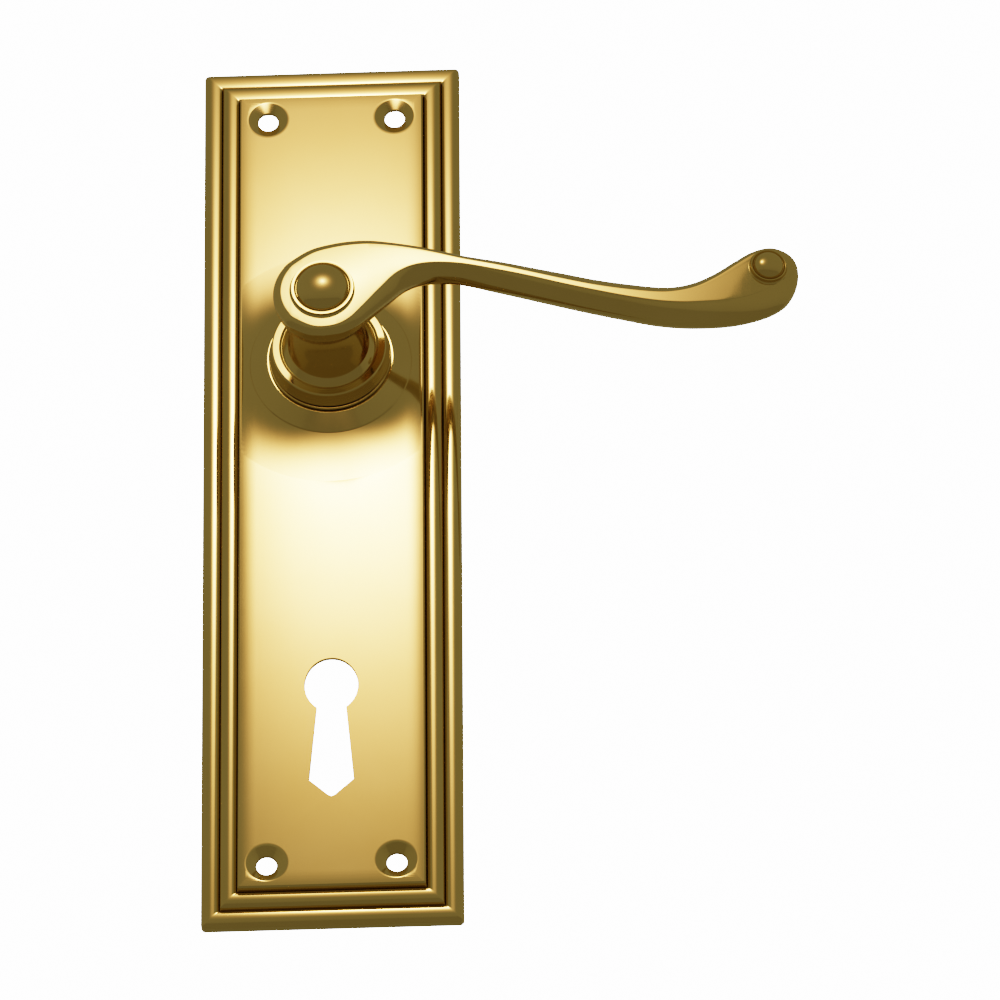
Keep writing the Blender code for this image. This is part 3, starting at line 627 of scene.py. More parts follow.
def screw_hole_profile():
    """Counterbore behind, short land, shallow cone and softly polished lip."""
    lip = 4.4
    profile = [(SCREW_RADIUS, SCREW_LAND_BACK), (SCREW_RADIUS, SCREW_LAND_FRONT),
               (COUNTERSINK_RADIUS + 0.1, FIELD_HEIGHT - 0.15), (lip, FIELD_HEIGHT + 0.012)]
    return [(0, -1.0), (COUNTERBORE_RADIUS, -1.0), (COUNTERBORE_RADIUS, SCREW_LAND_BACK)] + softened(
        profile, 0.3, 6) + [(lip, FIELD_HEIGHT + 1), (0, FIELD_HEIGHT + 1)]


def build_hollow(screws):
    """The space behind the casting: two steps, without the ribs, pillars and keyhole wall."""
    loops = []
    for inset, height in ((HOLLOW_RIM, -1.0), (HOLLOW_RIM, HOLLOW_RIM_HEIGHT),
                          (HOLLOW_INSET, HOLLOW_RIM_HEIGHT), (HOLLOW_INSET, HOLLOW_HEIGHT)):
        half = PLATE_WIDTH / 2 - inset
        outline = rounded_box(-half, half, PLATE_BOTTOM + inset, PLATE_TOP - inset, 1.0)
        loops.append([point(x, height, z) for x, z in outline])
    hollow = new_object("hollow", stacked(loops))
    reach = PLATE_WIDTH / 2
    back = -2.0
    front = HOLLOW_HEIGHT + 1
    kept = [prism(rectangle(-reach, reach, level - RIB_WIDTH / 2, level + RIB_WIDTH / 2), back, front)
            for level in RIB_LEVELS]
    kept += [cylinder(PILLAR_RADIUS, back, front, centre, 64) for centre in screws]
    kept.append(prism(keyhole_outline(KEY_WALL), back, front))
    return settle(hollow, [combine(hollow, shape) for shape in kept])


def skirt_height(radius):
    """Height of the boss's hollow-curved skirt."""
    share = (SKIRT_RADIUS - radius) / (SKIRT_RADIUS - BOSS_RADIUS)
    return FIELD_HEIGHT + SKIRT_RISE * share ** SKIRT_POWER + CURL_RISE * share ** CURL_POWER


def build_boss():
    """Skirt, small step, cone and flat top round the neck, rolled over at the field's long edges."""
    rim = SKIRT_RADIUS - SKIRT_MARGIN
    inside = FIELD_HEIGHT - 1.0
    skirt_steps = 48
    profile = [(0, inside), (rim, inside)]
    for k in range(skirt_steps + 1):
        radius = rim + (BOSS_RADIUS - rim) * k / skirt_steps
        profile.append((radius, skirt_height(radius)))
    step_foot = profile.pop()
    step_top = step_foot[1] + BOSS_STEP
    profile += softened([step_foot, (BOSS_RADIUS - 0.12, step_top), (BOSS_TOP_RADIUS, BOSS_TOP),
                         (BORE_RADIUS - 1.0, BOSS_TOP)], 0.15, 4)
    vertices, faces = turned(profile + [(0, BOSS_TOP)], steps=192)
    rolled = [(x, y + field_roll(PLATE_WIDTH / 2 - abs(x) / MM) * MM, z) for x, y, z in vertices]
    boss = new_object("boss", (rolled, faces))
    edge = [(SKIRT_HALF_WIDTH + 0.03, 3.0), (SKIRT_HALF_WIDTH, 4.9), (SKIRT_HALF_WIDTH - 0.45, 5.75),
            (BOSS_RADIUS + 0.1, 6.35), (BOSS_RADIUS + 0.1, BOSS_TOP + 1)]
    loops = [[point(x, height, z) for x, z in rectangle(-half, half, -SKIRT_RADIUS, SKIRT_RADIUS)]
             for half, height in softened(edge, 0.8, 8)]
    return settle(boss, [combine(boss, stacked(loops), 'INTERSECT')], PLATE_SHARP_ANGLE)


def behind_casting(spot):
    """Whether a spot (x, height, z in millimetres) lies on the unpolished back."""
    x, height, z = spot
    inset = min(PLATE_WIDTH / 2 - abs(x), PLATE_TOP - z, z - PLATE_BOTTOM) + 0.02
    outer = inset > HOLLOW_RIM and height < HOLLOW_RIM_HEIGHT + 0.01
    return outer or (inset > HOLLOW_INSET and height < HOLLOW_HEIGHT + 0.01)


def build_backplate(polished, cast):
    section = plate_section()
    loops = [[point(x, height, z) for x, z in plate_outline(inset)] for inset, height in section]
    plate = new_object("backplate_fine", stacked(loops), (polished, cast))
    screws = [(x, z) for x in (-SCREW_X, SCREW_X) for z in SCREW_LEVELS]
    tools = [combine(plate, build_hollow(screws)), combine(plate, build_boss(), 'UNION')]
    for centre in screws:
        tools.append(combine(plate, turned(screw_hole_profile(), centre, 96)))
    tools.append(combine(plate, lipped_prism(keyhole_outline, 0.12)))
    tools.append(combine(plate, cylinder(BORE_RADIUS, -1.0, BOSS_TOP + 1)))
    for side in (-1, 1):
        tools.append(combine(plate, cylinder(EAR_HOLE_RADIUS, 1.0, 4.0, (0.0, side * EAR_SCREW_OFFSET), 32)))
    settle(plate, tools, PLATE_SHARP_ANGLE)
    for face in plate.data.polygons:
        spot = face.center / MM
        face.material_index = int(behind_casting((spot.x, -spot.y, spot.z)))
    return finish_piece(plate, "plate", "cast_brass", "backplate")


def build_seat_ring(material):
    back = BOSS_TOP + RING_GAP
    front = FLANGE_BACK - RING_GAP
    outer = 11.9
    corners = [(BORE_RADIUS + 0.1, back), (outer - 0.15, back), (outer, back + 0.15), (outer, front - 0.15),
               (outer - 0.15, front), (BORE_RADIUS + 0.1, front)]
    placed("seat_ring_fine", turned(softened_ring(corners, 0.25, 6)), material, "plate", "turned_brass",
           "seat_ring")


# ---- Neck ----

def neck_profile():
    """Neck from its spigot down the coved shank and the flange to the end of its tail."""
    top = [(0, SPIGOT_TOP), (SPIGOT_RADIUS, SPIGOT_TOP), (SPIGOT_RADIUS, NECK_SHOULDER),
           (7.9, NECK_SHOULDER), (8.15, 28.2)]
    profile = softened(top, 0.2, 3)
    shank_top = 27.9
    shank_bottom = 14.4
    steps = 26
    for k in range(steps + 1):
        share = k / steps
        radius = NECK_SHANK_RADIUS - 0.75 * math.sin(math.pi * share) ** 0.8 - 0.45 * share
        profile.append((radius, shank_top + (shank_bottom - shank_top) * share))
    flange = [profile[-1], (7.87, 13.95), (8.55, 13.1), (9.15, 12.5), (9.6, FLANGE_FRONT),
              (FLANGE_LIP_RADIUS - 0.15, FLANGE_FRONT), (FLANGE_LIP_RADIUS + 0.05, FLANGE_FRONT - 0.3),
              (FLANGE_RADIUS, FLANGE_BACK + 0.35), (FLANGE_RADIUS - 0.25, FLANGE_BACK),
              (TAIL_RADIUS, FLANGE_BACK)]
    profile = profile[:-1] + softened(flange, 0.2, 6)
    tail = [(TAIL_RADIUS, FLANGE_BACK), (TAIL_RADIUS, -8.2), (6.6, -8.2), (6.6, -9.6), (TAIL_RADIUS, -9.6),
            (TAIL_RADIUS, TAIL_END), (0, TAIL_END)]
    return profile[:-1] + softened(tail, 0.25, 3)


def build_neck(material):
    neck = new_object("lever_neck_fine", turned(neck_profile()), (material,))
    half = SPINDLE_SIZE / 2 + SOCKET_GAP
    tools = [combine(neck, prism(rectangle(-half, half, -half, half), TAIL_END - 1, SOCKET_FRONT))]
    reach = TAIL_RADIUS + 2
    for low, high in ((-reach, -FLAT_OFFSET), (FLAT_OFFSET, reach)):
        flat = prism(rectangle(low, high, -reach, reach), TAIL_END - 1, FLAT_START)
        tools.append(combine(neck, flat))
    tools.append(combine(neck, cylinder(STEM_RADIUS + SEAT, 24.0, SPIGOT_TOP + 1, steps=48)))
    settle(neck, tools)
    return finish_piece(neck, "lever", "turned_brass", "lever_neck")


# ---- Arm ----

def arm_rows():
    """All stations, with the hub's round end first."""
    rows = []
    for angle in HUB_ARC_ANGLES:
        upper = polar(HUB_RADIUS, 180 - angle)
        lower = polar(HUB_RADIUS, 180 + angle)
        rows.append((upper, lower, HUB_FLARE, HUB_FLARE, HUB_FLARE, 0.3))
    rows.append(((-1.9, 8.35), polar(HUB_RADIUS, 258), HUB_FLARE, HUB_FLARE, HUB_FLARE, 0.3))
    return rows + list(ARM_STATIONS)


def blend_cubic(before, start, end, after, share):
    """Catmull-Rom curve between start and end, for tuples of numbers."""
    result = []
    for a, b, c, d in zip(before, start, end, after):
        value = 2 * b + (c - a) * share + (2 * a - 5 * b + 4 * c - d) * share ** 2
        value += (3 * b - a - 3 * c + d) * share ** 3
        result.append(value / 2)
    return tuple(result)


def arm_outline(steps):
    """Closed outline of the face: x, z, flare, flare depth and back offset at each point."""
    rows = arm_rows()
    loop = [(*row[0], row[2], row[4], row[5]) for row in rows]
    loop += [(*row[1], row[3], row[4], row[5]) for row in reversed(rows[1:-1])]
    outline = []
    count = len(loop)
    for k in range(count):
        for step in range(steps):
            outline.append(blend_cubic(loop[k - 1], loop[k], loop[(k + 1) % count],
                                       loop[(k + 2) % count], step / steps))
    return outline


def face_height(x):
    """Height of the arm's face, which bends back towards the door near its end."""
    return FACE_HEIGHT - RETURN_RATE * max(x - RETURN_START, 0.0) ** 2


def arm_levels(outline):
    """Loops of (out, down) offsets from the face's edge, over the flared side, to the back's edge."""
    levels = [[(-FACE_EDGE, 0.0)] * len(outline), [(-FACE_EDGE * 0.4, FACE_EDGE * 0.08)] * len(outline)]
    crease = math.radians(CREASE_ANGLE)
    for k in range(FLARE_STEPS + 1):
        turn = crease + (math.pi / 2 - crease) * k / FLARE_STEPS
        out = (math.sin(turn) - math.sin(crease)) / (1 - math.sin(crease))
        down = (math.cos(crease) - math.cos(turn)) / math.cos(crease)
        edge = FACE_EDGE * 0.35 * (1 - k / FLARE_STEPS)
        levels.append([(flare * out, depth * down + edge) for _, _, flare, depth, _ in outline])
    for k in range(1, BACK_STEPS + 1):
        turn = math.pi / 2 * k / BACK_STEPS
        levels.append([(back + (flare - back) * math.cos(turn),
                        depth + ARM_BACK_DEPTH * math.sin(turn))
                       for _, _, flare, depth, back in outline])
    return levels


def add_cap(vertices, faces, ring, height_at, crown=0.0):
    """Closes a ring of the arm with strips across it at height_at(x), crowned where it is wide."""
    count = len(ring)
    rungs = []
    for k in range(count // 2 + 1):
        first = ring[k]
        last = ring[(count - k) % count]
        if first == last:
            rungs.append([first])
            continue
        rung = [first]
        a = Vector(vertices[first])
        b = Vector(vertices[last])
        for step in range(1, ACROSS_STEPS):
            share = step / ACROSS_STEPS
            spot = a.lerp(b, share)
            rise = 4 * crown * share * (1 - share) * ((a - b).length / (2 * HUB_RADIUS * MM)) ** 2
            rung.append(len(vertices))
            vertices.append((spot.x, -(height_at(spot.x / MM) + rise) * MM, spot.z))
        rungs.append(rung + [last])
    for one, two in zip(rungs, rungs[1:]):
        for step in range(ACROSS_STEPS):
            loop = (one[min(step, len(one) - 1)], one[min(step + 1, len(one) - 1)],
                    two[min(step + 1, len(two) - 1)], two[min(step, len(two) - 1)])
            faces.append(tuple(dict.fromkeys(loop)))


def arm_shape(steps=8):
    """Arm and hub as one lofted solid, capped by strips across the face and the back."""
    outline = arm_outline(steps)
    count = len(outline)
    normals = []
    for k in range(count):
        dx = outline[(k + 1) % count][0] - outline[k - 1][0]
        dz = outline[(k + 1) % count][1] - outline[k - 1][1]
        length = math.hypot(dx, dz)
        normals.append((-dz / length, dx / length))
    vertices = []
    for level in arm_levels(outline):
        for (x, z, *_), (nx, nz), (out, down) in zip(outline, normals, level):
            vertices.append(point(x + nx * out, face_height(x) - down, z + nz * out))
    rows = len(vertices) // count
    faces = side_faces(count, rows)
    add_cap(vertices, faces, list(range(count)), face_height, FACE_CROWN)
    back = list(range((rows - 1) * count, rows * count))
    add_cap(vertices, faces, back, lambda x: face_height(x) - ARM_BACK_DEPTH - 3.0)
    return vertices, faces


def tilted(shape, centre_x, centre_z):
    """Moves a shape turned about the spindle axis onto the arm's face, square to it."""
    slope = -2 * RETURN_RATE * max(centre_x - RETURN_START, 0.0)
    angle = math.atan(-slope)
    vertices, faces = shape
    moved = []
    for x, y, z in vertices:
        turned_x = x * math.cos(angle) - y * math.sin(angle)
        turned_y = x * math.sin(angle) + y * math.cos(angle)
        moved.append((turned_x + centre_x * MM, turned_y - face_height(centre_x) * MM,
                      z + centre_z * MM))
    return moved, faces


def build_arm(material):
    arm = new_object("lever_arm_fine", arm_shape(), (material,), ARM_SHARP_ANGLE)
    tools = [combine(arm, cylinder(NECK_SHANK_RADIUS + SEAT, 20.0, NECK_SHOULDER + SEAT)),
             combine(arm, cylinder(SPIGOT_RADIUS + SEAT, 20.0, SPIGOT_TOP + SEAT)),
             combine(arm, cylinder(STEM_RADIUS + SEAT, 20.0, FACE_HEIGHT + 1, steps=48)),
             combine(arm, tilted(cylinder(1.2, -3.6, 2.0, steps=48), *SCROLL_CENTRE))]
    settle(arm, tools, ARM_SHARP_ANGLE)
    return finish_piece(arm, "lever", "cast_brass", "lever_arm")


def button_profile(base, rim, lip, dome_height, rim_height, stem, stem_length):
    """Turned button: stem, coved ring and dome, with its height from the face."""
    cove_steps = 9
    ring = [(0, -stem_length), (stem, -stem_length), (stem, SEAT), (base, SEAT)]
    for k in range(1, cove_steps + 1):
        turn = math.radians(90.0 * k / cove_steps)
        radius = rim + (base - rim) * (1 - math.sin(turn))
        ring.append((radius, SEAT + (rim_height - SEAT) * (1 - math.cos(turn))))
    profile = ring[:-1] + softened([ring[-1], (rim - 0.12, rim_height), (lip + 0.12, rim_height),
                                    (lip - 0.15, rim_height - 0.3), (lip - 0.25, rim_height - 0.3)], 0.12, 3)
    dome_steps = 20
    dome_radius = lip - 0.25
    for k in range(1, dome_steps + 1):
        turn = math.radians(90.0 * k / dome_steps)
        radius = dome_radius * math.cos(turn) if k < dome_steps else 0
        profile.append((radius, rim_height - 0.3 + (dome_height - rim_height + 0.3) * math.sin(turn)))
    return profile


def build_buttons(material):
    hub = button_profile(base=6.6, rim=5.95, lip=5.3, dome_height=3.3, rim_height=1.1,
                         stem=STEM_RADIUS, stem_length=8.9)
    scroll = button_profile(base=3.8, rim=3.45, lip=3.1, dome_height=2.4, rim_height=1.0,
                            stem=1.0, stem_length=3.3)
    hub_button = new_object("hub_button_fine", tilted(turned(hub), 0.0, 0.0), (material,))
    finish_piece(hub_button, "lever", "turned_brass", "hub_button")
    scroll_button = new_object("scroll_button_fine", tilted(turned(scroll), *SCROLL_CENTRE), (material,))
    finish_piece(scroll_button, "lever", "turned_brass", "scroll_button")


# ---- Spring box and running gear ----

def build_box(steel, nylon):
    """Cup with two ears, its cover, two screws and the nylon bush."""
    inner = CUP_RADIUS - CUP_WALL
    cup = [(CUP_HOLE_RADIUS, CUP_FRONT), (CUP_RADIUS, CUP_FRONT), (CUP_RADIUS, CUP_BACK), (inner, CUP_BACK),
           (inner, CUP_FLOOR_BACK), (CUP_HOLE_RADIUS, CUP_FLOOR_BACK)]
    ears = []
    holes = []
    for side in (-1, 1):
        end = [(x, side * z) for x, z in arc(EAR_HALF_WIDTH, 0, 180, 24, (0.0, EAR_SCREW_OFFSET))]
        outline = end + [(-EAR_HALF_WIDTH, side * EAR_FOOT), (EAR_HALF_WIDTH, side * EAR_FOOT)]
        ears.append(prism(outline, CUP_FLOOR_BACK + 0.05, CUP_FRONT - 0.02))
        holes.append(cylinder(EAR_HOLE_RADIUS, 0.0, CUP_FRONT + 1, (0.0, side * EAR_SCREW_OFFSET), 48))
    placed("spring_housing_fine", turned(softened_ring(cup, 0.6, 5)), steel, "plate", "plated_steel",
           "spring_housing", holes, ears)
    bore = TAIL_RADIUS + 0.4
    cover = [(bore, COVER_FRONT), (CUP_RADIUS, COVER_FRONT), (CUP_RADIUS, COVER_BACK), (bore, COVER_BACK)]
    anchor_hole = cylinder(PIN_RADIUS + 0.05, COVER_BACK - 1, COVER_FRONT + 1, anchor_position(), 48)
    placed("spring_cover_fine", turned(softened_ring(cover, 0.2)), steel, "plate", "plated_steel",
           "spring_cover", [anchor_hole])
    for name, side in (("housing_screw_upper", 1), ("housing_screw_lower", -1)):
        level = side * EAR_SCREW_OFFSET
        profile = softened([(0, 0.1), (2.2, 0.1), (2.5, 0.4), (2.5, 1.27), (1.3, 1.27), (1.3, 3.5),
                            (1.1, 3.7), (0, 3.7)], 0.2)
        slot = prism(rectangle(-3.0, 3.0, level - 0.35, level + 0.35), -0.5, 0.55)
        placed(name + "_fine", turned(profile, (0.0, level), 72), steel, "plate", "plated_steel", name,
               [slot])
    tail = TAIL_RADIUS + 0.1
    bush = [(tail, FLANGE_BACK - 0.2), (BORE_RADIUS - 0.1, FLANGE_BACK - 0.2), (BORE_RADIUS - 0.1, CUP_FRONT),
            (CUP_HOLE_RADIUS - 0.1, CUP_FRONT), (CUP_HOLE_RADIUS - 0.1, 1.2), (tail, 1.2)]
    placed("neck_bush_fine", turned(softened_ring(bush, 0.2)), nylon, "plate", "nylon", "neck_bush")


def anchor_position():
    """The anchor pin stands beside the spring's fixed leg."""
    beside = math.degrees((PIN_RADIUS + WIRE_RADIUS + PIN_GAP) / PIN_ORBIT)
    return polar(PIN_ORBIT, FIXED_LEG_ANGLE - beside)


def build_pins(steel):
    away = LUG_HALF_ANGLE + math.degrees((PIN_RADIUS + PIN_GAP) / PIN_ORBIT)
    places = {"stop_pin_rest": (polar(PIN_ORBIT, LUG_ANGLE + away), CAM_BACK, CUP_FLOOR_BACK - SEAT),
              "stop_pin_open": (polar(PIN_ORBIT, LUG_ANGLE - TURN_ANGLE - away), CAM_BACK,
                                CUP_FLOOR_BACK - SEAT),
              "spring_anchor_pin": (anchor_position(), COVER_BACK, -3.6)}
    for name, (centre, back, front) in places.items():
        profile = softened([(0, back), (PIN_RADIUS, back), (PIN_RADIUS, front), (0, front)], 0.2)
        placed(name + "_fine", turned(profile, centre, 40), steel, "plate", "plated_steel", name)


def build_drive_cam(steel):
    start = LUG_ANGLE + LUG_HALF_ANGLE
    outline = arc(CAM_RADIUS, start, start + 360 - 2 * LUG_HALF_ANGLE, 120)
    outline += arc(LUG_RADIUS, LUG_ANGLE - LUG_HALF_ANGLE, LUG_ANGLE + LUG_HALF_ANGLE, 12)
    radius = TAIL_RADIUS + 0.1
    corner = math.degrees(math.acos((FLAT_OFFSET + 0.1) / radius))
    hole = arc(radius, corner, 180 - corner, 40) + arc(radius, 180 + corner, 360 - corner, 40)
    post = cylinder(POST_RADIUS, -2.6, 0.0, polar(PIN_ORBIT, LUG_ANGLE), 40)
    placed("drive_cam_fine", prism(outline, CAM_BACK, CAM_FRONT), steel, "lever", "plated_steel", "drive_cam",
           [prism(hole, CAM_BACK - 1, CAM_FRONT + 1)], [post])


def spring_path():
    """Torsion spring: moving leg, coil and fixed leg, with a small bend at each leg's root."""
    first = LUG_ANGLE - math.degrees((POST_RADIUS + WIRE_RADIUS + PIN_GAP) / PIN_ORBIT)
    last = 360.0 * COIL_TURNS + FIXED_LEG_ANGLE
    bend_angle = math.degrees(LEG_BEND / COIL_RADIUS)
    middle = COIL_RADIUS + LEG_BEND

    def local(radial, sideways, degrees, height):
        x, z = polar(1.0, degrees)
        return (radial * x - sideways * z, height, radial * z + sideways * x)

    bend_steps = 8
    path = [local(LEG_RADIUS, 0.0, first, COIL_FRONT)]
    for k in range(bend_steps):
        turn = math.pi / 2 * k / bend_steps
        path.append(local(middle - LEG_BEND * math.sin(turn), LEG_BEND - LEG_BEND * math.cos(turn),
                          first, COIL_FRONT))
    start = first + bend_angle
    end = last - bend_angle
    coil_steps = 150
    for k in range(coil_steps + 1):
        share = k / coil_steps
        x, z = polar(COIL_RADIUS, start + (end - start) * share)
        path.append((x, COIL_FRONT + (COIL_BACK - COIL_FRONT) * share, z))
    for k in range(1, bend_steps + 1):
        turn = math.pi / 2 * k / bend_steps
        path.append(local(middle - LEG_BEND * math.cos(turn), LEG_BEND * math.sin(turn) - LEG_BEND,
                          last, COIL_BACK))
    path.append(local(LEG_RADIUS, 0.0, last, COIL_BACK))
    return path


def swept_wire(path, radius, sides=16):
    """Round wire along a path of (x, height, z) points."""
    loops = []
    last = len(path) - 1
    for k, spot in enumerate(path):
        along = (Vector(path[min(k + 1, last)]) - Vector(path[max(k - 1, 0)])).normalized()
        side = along.cross(Vector((0, 1, 0))).normalized()
        rise = side.cross(along)
        loop = []
        for j in range(sides):
            a, b = polar(radius, 360.0 * j / sides)
            loop.append(point(*(Vector(spot) + side * a + rise * b)))
        loops.append(loop)
    return stacked(loops)


def build_return_spring(steel):
    spring = new_object("return_spring_fine", swept_wire(spring_path(), WIRE_RADIUS), (steel,))
    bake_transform(spring)
    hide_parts("return_spring")


def build_wave_washer(steel):
    """Thin ring with three waves, which takes up the end play."""
    inner = 7.9
    outer = 10.6
    middle = -6.95
    half_thickness = 0.15
    wave = 0.2
    steps = 180
    section = softened_ring([(inner, half_thickness), (outer, half_thickness), (outer, -half_thickness),
                             (inner, -half_thickness)], 0.06, 2)
    vertices = []
    for k in range(steps):
        turn = math.radians(360.0 * k / steps)
        height = middle + wave * math.cos(3 * turn)
        vertices += [point(radius * math.cos(turn), height + side, radius * math.sin(turn))
                     for radius, side in section]
    placed("wave_washer_fine", (vertices, side_faces(len(section), steps, True)), steel, "plate",
           "spring_steel", "wave_washer")


def build_end_pieces(steel, spring, bar):
    """Thrust washer, circlip and the square spindle."""
    washer = [(7.8, -7.6), (10.9, -7.6), (10.9, -8.17), (7.8, -8.17)]
    placed("thrust_washer_fine", turned(softened_ring(washer, 0.15)), steel, "lever", "plated_steel",
           "thrust_washer")
    half_gap = 26.0
    steps = 96
    inside = arc(6.65, -90 + half_gap, 270 - half_gap, steps)
    outside = []
    for k in range(steps + 1):
        share = 2.0 * k / steps - 1
        from_end = (1 - abs(share)) * (180 - half_gap)
        ear = 1.1 / (1 + math.exp((from_end - 9.0) * 0.9))
        outside.append(polar(9.2 - 0.6 * abs(share) + ear, 90 - share * (180 - half_gap)))
    clip = placed("circlip_fine", prism(inside + outside, -9.3, -8.3), spring, "lever", "spring_steel",
                  "circlip")
    round_edges(clip, 0.12)
    loops = []
    for inset, height in ((0.5, -60.0), (0.0, -59.3), (0.0, 14.2), (0.5, 14.7)):
        half = SPINDLE_SIZE / 2 - inset
        loops.append([point(x, height, z) for x, z in rounded_box(-half, half, -half, half, 0.55)])
    placed("spindle_fine", stacked(loops), bar, "lever", "bar_steel", "spindle")


def round_edges(thing, width):
    """Small rounding of the sharp edges, worked out before the normals are weighted."""
    bevel = thing.modifiers.new("edges", 'BEVEL')
    bevel.width = width * MM
    bevel.segments = 2
    bevel.limit_method = 'ANGLE'
    bevel.angle_limit = math.radians(40)
    thing.modifiers.move(len(thing.modifiers) - 1, 0)


# ---- Studio ----

def linked(tree, kind, *sources, **values):
    """New node whose first inputs are linked to the given outputs."""
    node = tree.nodes.new(kind)
    for key, value in values.items():
        setattr(node, key, value)
    for source, socket in zip(sources, node.inputs):
        tree.links.new(source, socket)
    return node


def chained(tree, value, steps):
    """Sends a value through a row of (operation, amount) maths nodes."""
    for operation, amount in steps:
        step = linked(tree, "ShaderNodeMath", value, operation=operation)
        step.inputs[1].default_value = amount
        value = step.outputs["Value"]
    return value


def product(tree, first, second):
    return linked(tree, "ShaderNodeMath", first, second, operation='MULTIPLY').outputs["Value"]


def glow(tree, kind, colour, strength):
    """Output of an emission or background node of one colour and strength."""
    node = tree.nodes.new(kind)
    node.inputs["Color"].default_value = (*colour, 1.0)
    node.inputs["Strength"].default_value = strength
    return node.outputs[0]


def seen_by(tree, metal, camera):
    """Shader that the metal sees one way and the camera another."""
    to_camera = tree.nodes.new("ShaderNodeLightPath").outputs["Is Camera Ray"]
    return linked(tree, "ShaderNodeMixShader", to_camera, metal, camera).outputs["Shader"]


def lamp_reach(tree, centre, right, along, power):
    """Distance from a lamp's centre, with its sideways part raised to a power."""
    place = tree.nodes.new("ShaderNodeNewGeometry").outputs["Position"]
    offset = linked(tree, "ShaderNodeVectorMath", place, operation='SUBTRACT')
    offset.inputs[1].default_value = centre
    parts = []
    for axis in (right / SIDE_REACH, along):
        part = linked(tree, "ShaderNodeVectorMath", offset.outputs["Vector"], operation='DOT_PRODUCT')
        part.inputs[1].default_value = axis
        parts.append(part.outputs["Value"])
    across = chained(tree, parts[0], (('ABSOLUTE', 0.0), ('POWER', power), ('MULTIPLY', SIDE_REACH)))
    pair = linked(tree, "ShaderNodeCombineXYZ", across, parts[1])
    length = linked(tree, "ShaderNodeVectorMath", pair.outputs["Vector"], operation='LENGTH')
    return length.outputs["Value"]


def soft_lamp(name, anchor, distance, peak, fade, power, pieces):
    """Square area light, seen mirrored in a flat face at anchor, brightest and whitest at its centre.

    It fades exponentially over the length fade. Sideways the distance is raised to the given power,
    so the light ends sooner there. It is dim in reflections of reflections, and only the named
    pieces receive it.
    """
    forward, right, _ = view_axes()
    mirrored = Vector((forward.x, -forward.y, forward.z))
    centre = Vector(anchor) + mirrored * distance
    data = bpy.data.lights.new(name, 'AREA')
    data.size = LAMP_SIZE
    data.energy = 4.0 * LAMP_SIZE ** 2
    data.use_nodes = True
    tree = data.node_tree
    light = next(node for node in tree.nodes if node.type == 'EMISSION')
    reach = lamp_reach(tree, centre, right, right.cross(mirrored), power)
    fading = chained(tree, reach, (('MULTIPLY', -1.0 / fade), ('EXPONENT', 0.0), ('MULTIPLY', peak)))
    path = tree.nodes.new("ShaderNodeLightPath")
    share = chained(tree, path.outputs["Ray Depth"], (
        ('LESS_THAN', 2.5), ('MULTIPLY', 1.0 - SECOND_REFLECTION), ('ADD', SECOND_REFLECTION)))
    tree.links.new(product(tree, fading, share), light.inputs["Strength"])
    edge = chained(tree, reach, (('MULTIPLY', 1.0 / (3.0 * fade)), ('MINIMUM', 1.0)))
    warmth = linked(tree, "ShaderNodeMix", edge, data_type='RGBA')
    warmth.inputs[6].default_value = (*LIGHT_COLOUR, 1.0)
    warmth.inputs[7].default_value = (*EDGE_COLOUR, 1.0)
    tree.links.new(warmth.outputs[2], light.inputs["Color"])
    lamp = bpy.data.objects.new(name, data)
    bpy.context.scene.collection.objects.link(lamp)
    lamp.rotation_mode = 'QUATERNION'
    lamp.rotation_quaternion = mirrored.to_track_quat('Z', 'Y')
    lamp.location = centre
    lamp.visible_camera = False
    lit = bpy.data.collections.new(name + "_receivers")
    for piece in pieces:
        lit.objects.link(bpy.data.objects[piece])
    lamp.light_linking.receiver_collection = lit


def view_axes():
    """Viewing direction, right and up of the photographer's camera."""
    yaw = math.radians(CAMERA_YAW)
    pitch = math.radians(CAMERA_PITCH)
    roll = math.radians(CAMERA_ROLL)
    forward = Vector((-math.sin(yaw) * math.cos(pitch), math.cos(yaw) * math.cos(pitch), math.sin(pitch)))
    level = Vector((math.cos(yaw), math.sin(yaw), 0.0))
    up = level.cross(forward)
    right = level * math.cos(roll) + up * math.sin(roll)
    return forward, right, up * math.cos(roll) - level * math.sin(roll)


def add_camera():
    forward, right, up = view_axes()
    data = bpy.data.cameras.new("camera")
    data.sensor_width = 36.0
    data.lens = CAMERA_LENS
    data.clip_start = 0.1
    data.clip_end = 50.0
    camera = bpy.data.objects.new("camera", data)
    bpy.context.scene.collection.objects.link(camera)
    axes = Matrix((right, up, -forward)).transposed()
    camera.matrix_world = Matrix.Translation(
        (Vector(CAMERA_TARGET) - forward * CAMERA_DISTANCE) * MM) @ axes.to_4x4()
    bpy.context.scene.camera = camera


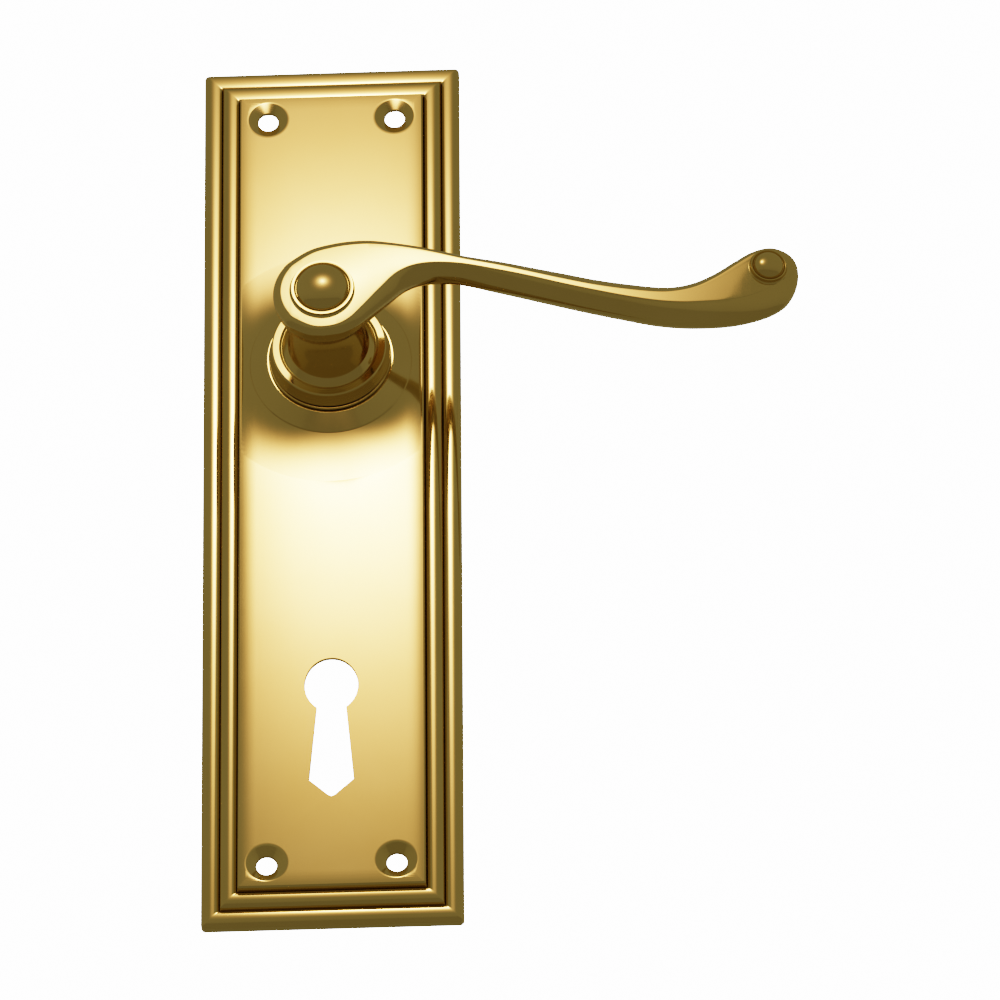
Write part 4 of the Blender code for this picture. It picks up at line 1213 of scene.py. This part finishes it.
def add_world():
    """White to the camera; to the metal, a dim warm room that is brighter behind the plate."""
    world = bpy.data.worlds.new("studio")
    bpy.context.scene.world = world
    world.use_nodes = True
    tree = world.node_tree
    tree.nodes.clear()
    direction = tree.nodes.new("ShaderNodeTexCoord").outputs["Generated"]
    parts = linked(tree, "ShaderNodeSeparateXYZ", direction).outputs

    def eased(axis, low, high, new_low, new_high):
        node = linked(tree, "ShaderNodeMapRange", parts[axis], interpolation_type='SMOOTHSTEP')
        limits = {"From Min": low, "From Max": high, "To Min": new_low, "To Max": new_high}
        for name, amount in limits.items():
            node.inputs[name].default_value = amount
        return node.outputs["Result"]

    room = tree.nodes.new("ShaderNodeBackground")
    room.inputs["Color"].default_value = (*ROOM_COLOUR, 1.0)
    tree.links.new(eased("Z", -1.0, 0.2, 0.145, 0.20), room.inputs["Strength"])
    behind = eased("Y", 0.35, 0.8, 0.0, 2.2)
    level = product(tree, eased("Z", -0.36, -0.1, 0.0, 1.0), eased("Z", 0.15, 0.45, 1.0, 0.0))
    path = tree.nodes.new("ShaderNodeLightPath")
    first = chained(tree, path.outputs["Ray Depth"], (('LESS_THAN', 1.5),))
    back_light = tree.nodes.new("ShaderNodeBackground")
    back_light.inputs["Color"].default_value = (*BACK_LIGHT_COLOUR, 1.0)
    tree.links.new(product(tree, first, product(tree, behind, level)), back_light.inputs["Strength"])
    both = linked(tree, "ShaderNodeAddShader", room.outputs["Background"],
                  back_light.outputs["Background"])
    backdrop = glow(tree, "ShaderNodeBackground", (1.0, 1.0, 1.0), BACKDROP_STRENGTH)
    output = tree.nodes.new("ShaderNodeOutputWorld")
    tree.links.new(seen_by(tree, both.outputs["Shader"], backdrop), output.inputs["Surface"])


def add_studio():
    """World and three lamps: for the plate, for the arm, and for the turned pieces of the lever."""
    add_world()
    soft_lamp("plate_light", point(3.0, FIELD_HEIGHT, -14.0), 0.1, 21.5, 20.3 * MM, 1.5,
              ("backplate_fine", "seat_ring_fine"))
    soft_lamp("arm_light", point(9.0, FACE_HEIGHT, 4.0), 0.22, 9.0, 35.0 * MM, 1.0,
              ("lever_arm_fine",))
    soft_lamp("turned_light", point(4.0, FACE_HEIGHT, 4.0), 0.25, 9.0, 18.0 * MM, 1.0,
              ("lever_neck_fine", "hub_button_fine", "scroll_button_fine"))


def add_floor():
    """Pale disc far below: bright to the camera, dim and warm to the metal, like the room."""
    material = bpy.data.materials.new("floor")
    material.use_nodes = True
    tree = material.node_tree
    tree.nodes.clear()
    dim = glow(tree, "ShaderNodeEmission", ROOM_COLOUR, FLOOR_GLOW)
    pale = glow(tree, "ShaderNodeEmission", FLOOR_COLOUR, BACKDROP_STRENGTH)
    output = tree.nodes.new("ShaderNodeOutputMaterial")
    tree.links.new(seen_by(tree, dim, pale), output.inputs["Surface"])
    steps = 96
    mesh = bpy.data.meshes.new("floor")
    mesh.from_pydata([(*polar(FLOOR_RADIUS, 360.0 * k / steps), 0.0) for k in range(steps)], [],
                     [tuple(range(steps))])
    mesh.materials.append(material)
    floor = bpy.data.objects.new("floor", mesh)
    bpy.context.scene.collection.objects.link(floor)
    floor.location = (0.0, 0.0, FLOOR_LEVEL)
    floor.visible_shadow = False


def main():
    cast = polished_brass("polished_cast_brass", (900.0, 900.0, 60.0), 0.07)
    lathe = polished_brass("polished_turned_brass", (300.0, 3000.0, 300.0), 0.055)
    steel = plated_steel()
    spring = spring_steel()

    build_backplate(cast, cast_back_brass())
    build_seat_ring(lathe)
    build_neck(lathe)
    build_arm(cast)
    build_buttons(lathe)
    build_box(steel, moulded_nylon())
    build_pins(steel)
    build_drive_cam(steel)
    build_return_spring(spring)
    build_wave_washer(spring)
    build_end_pieces(steel, spring, bar_steel())
    add_floor()
    add_studio()
    add_camera()
    view = bpy.context.scene.view_settings
    view.view_transform = 'Filmic'
    view.look = 'High Contrast'


main()
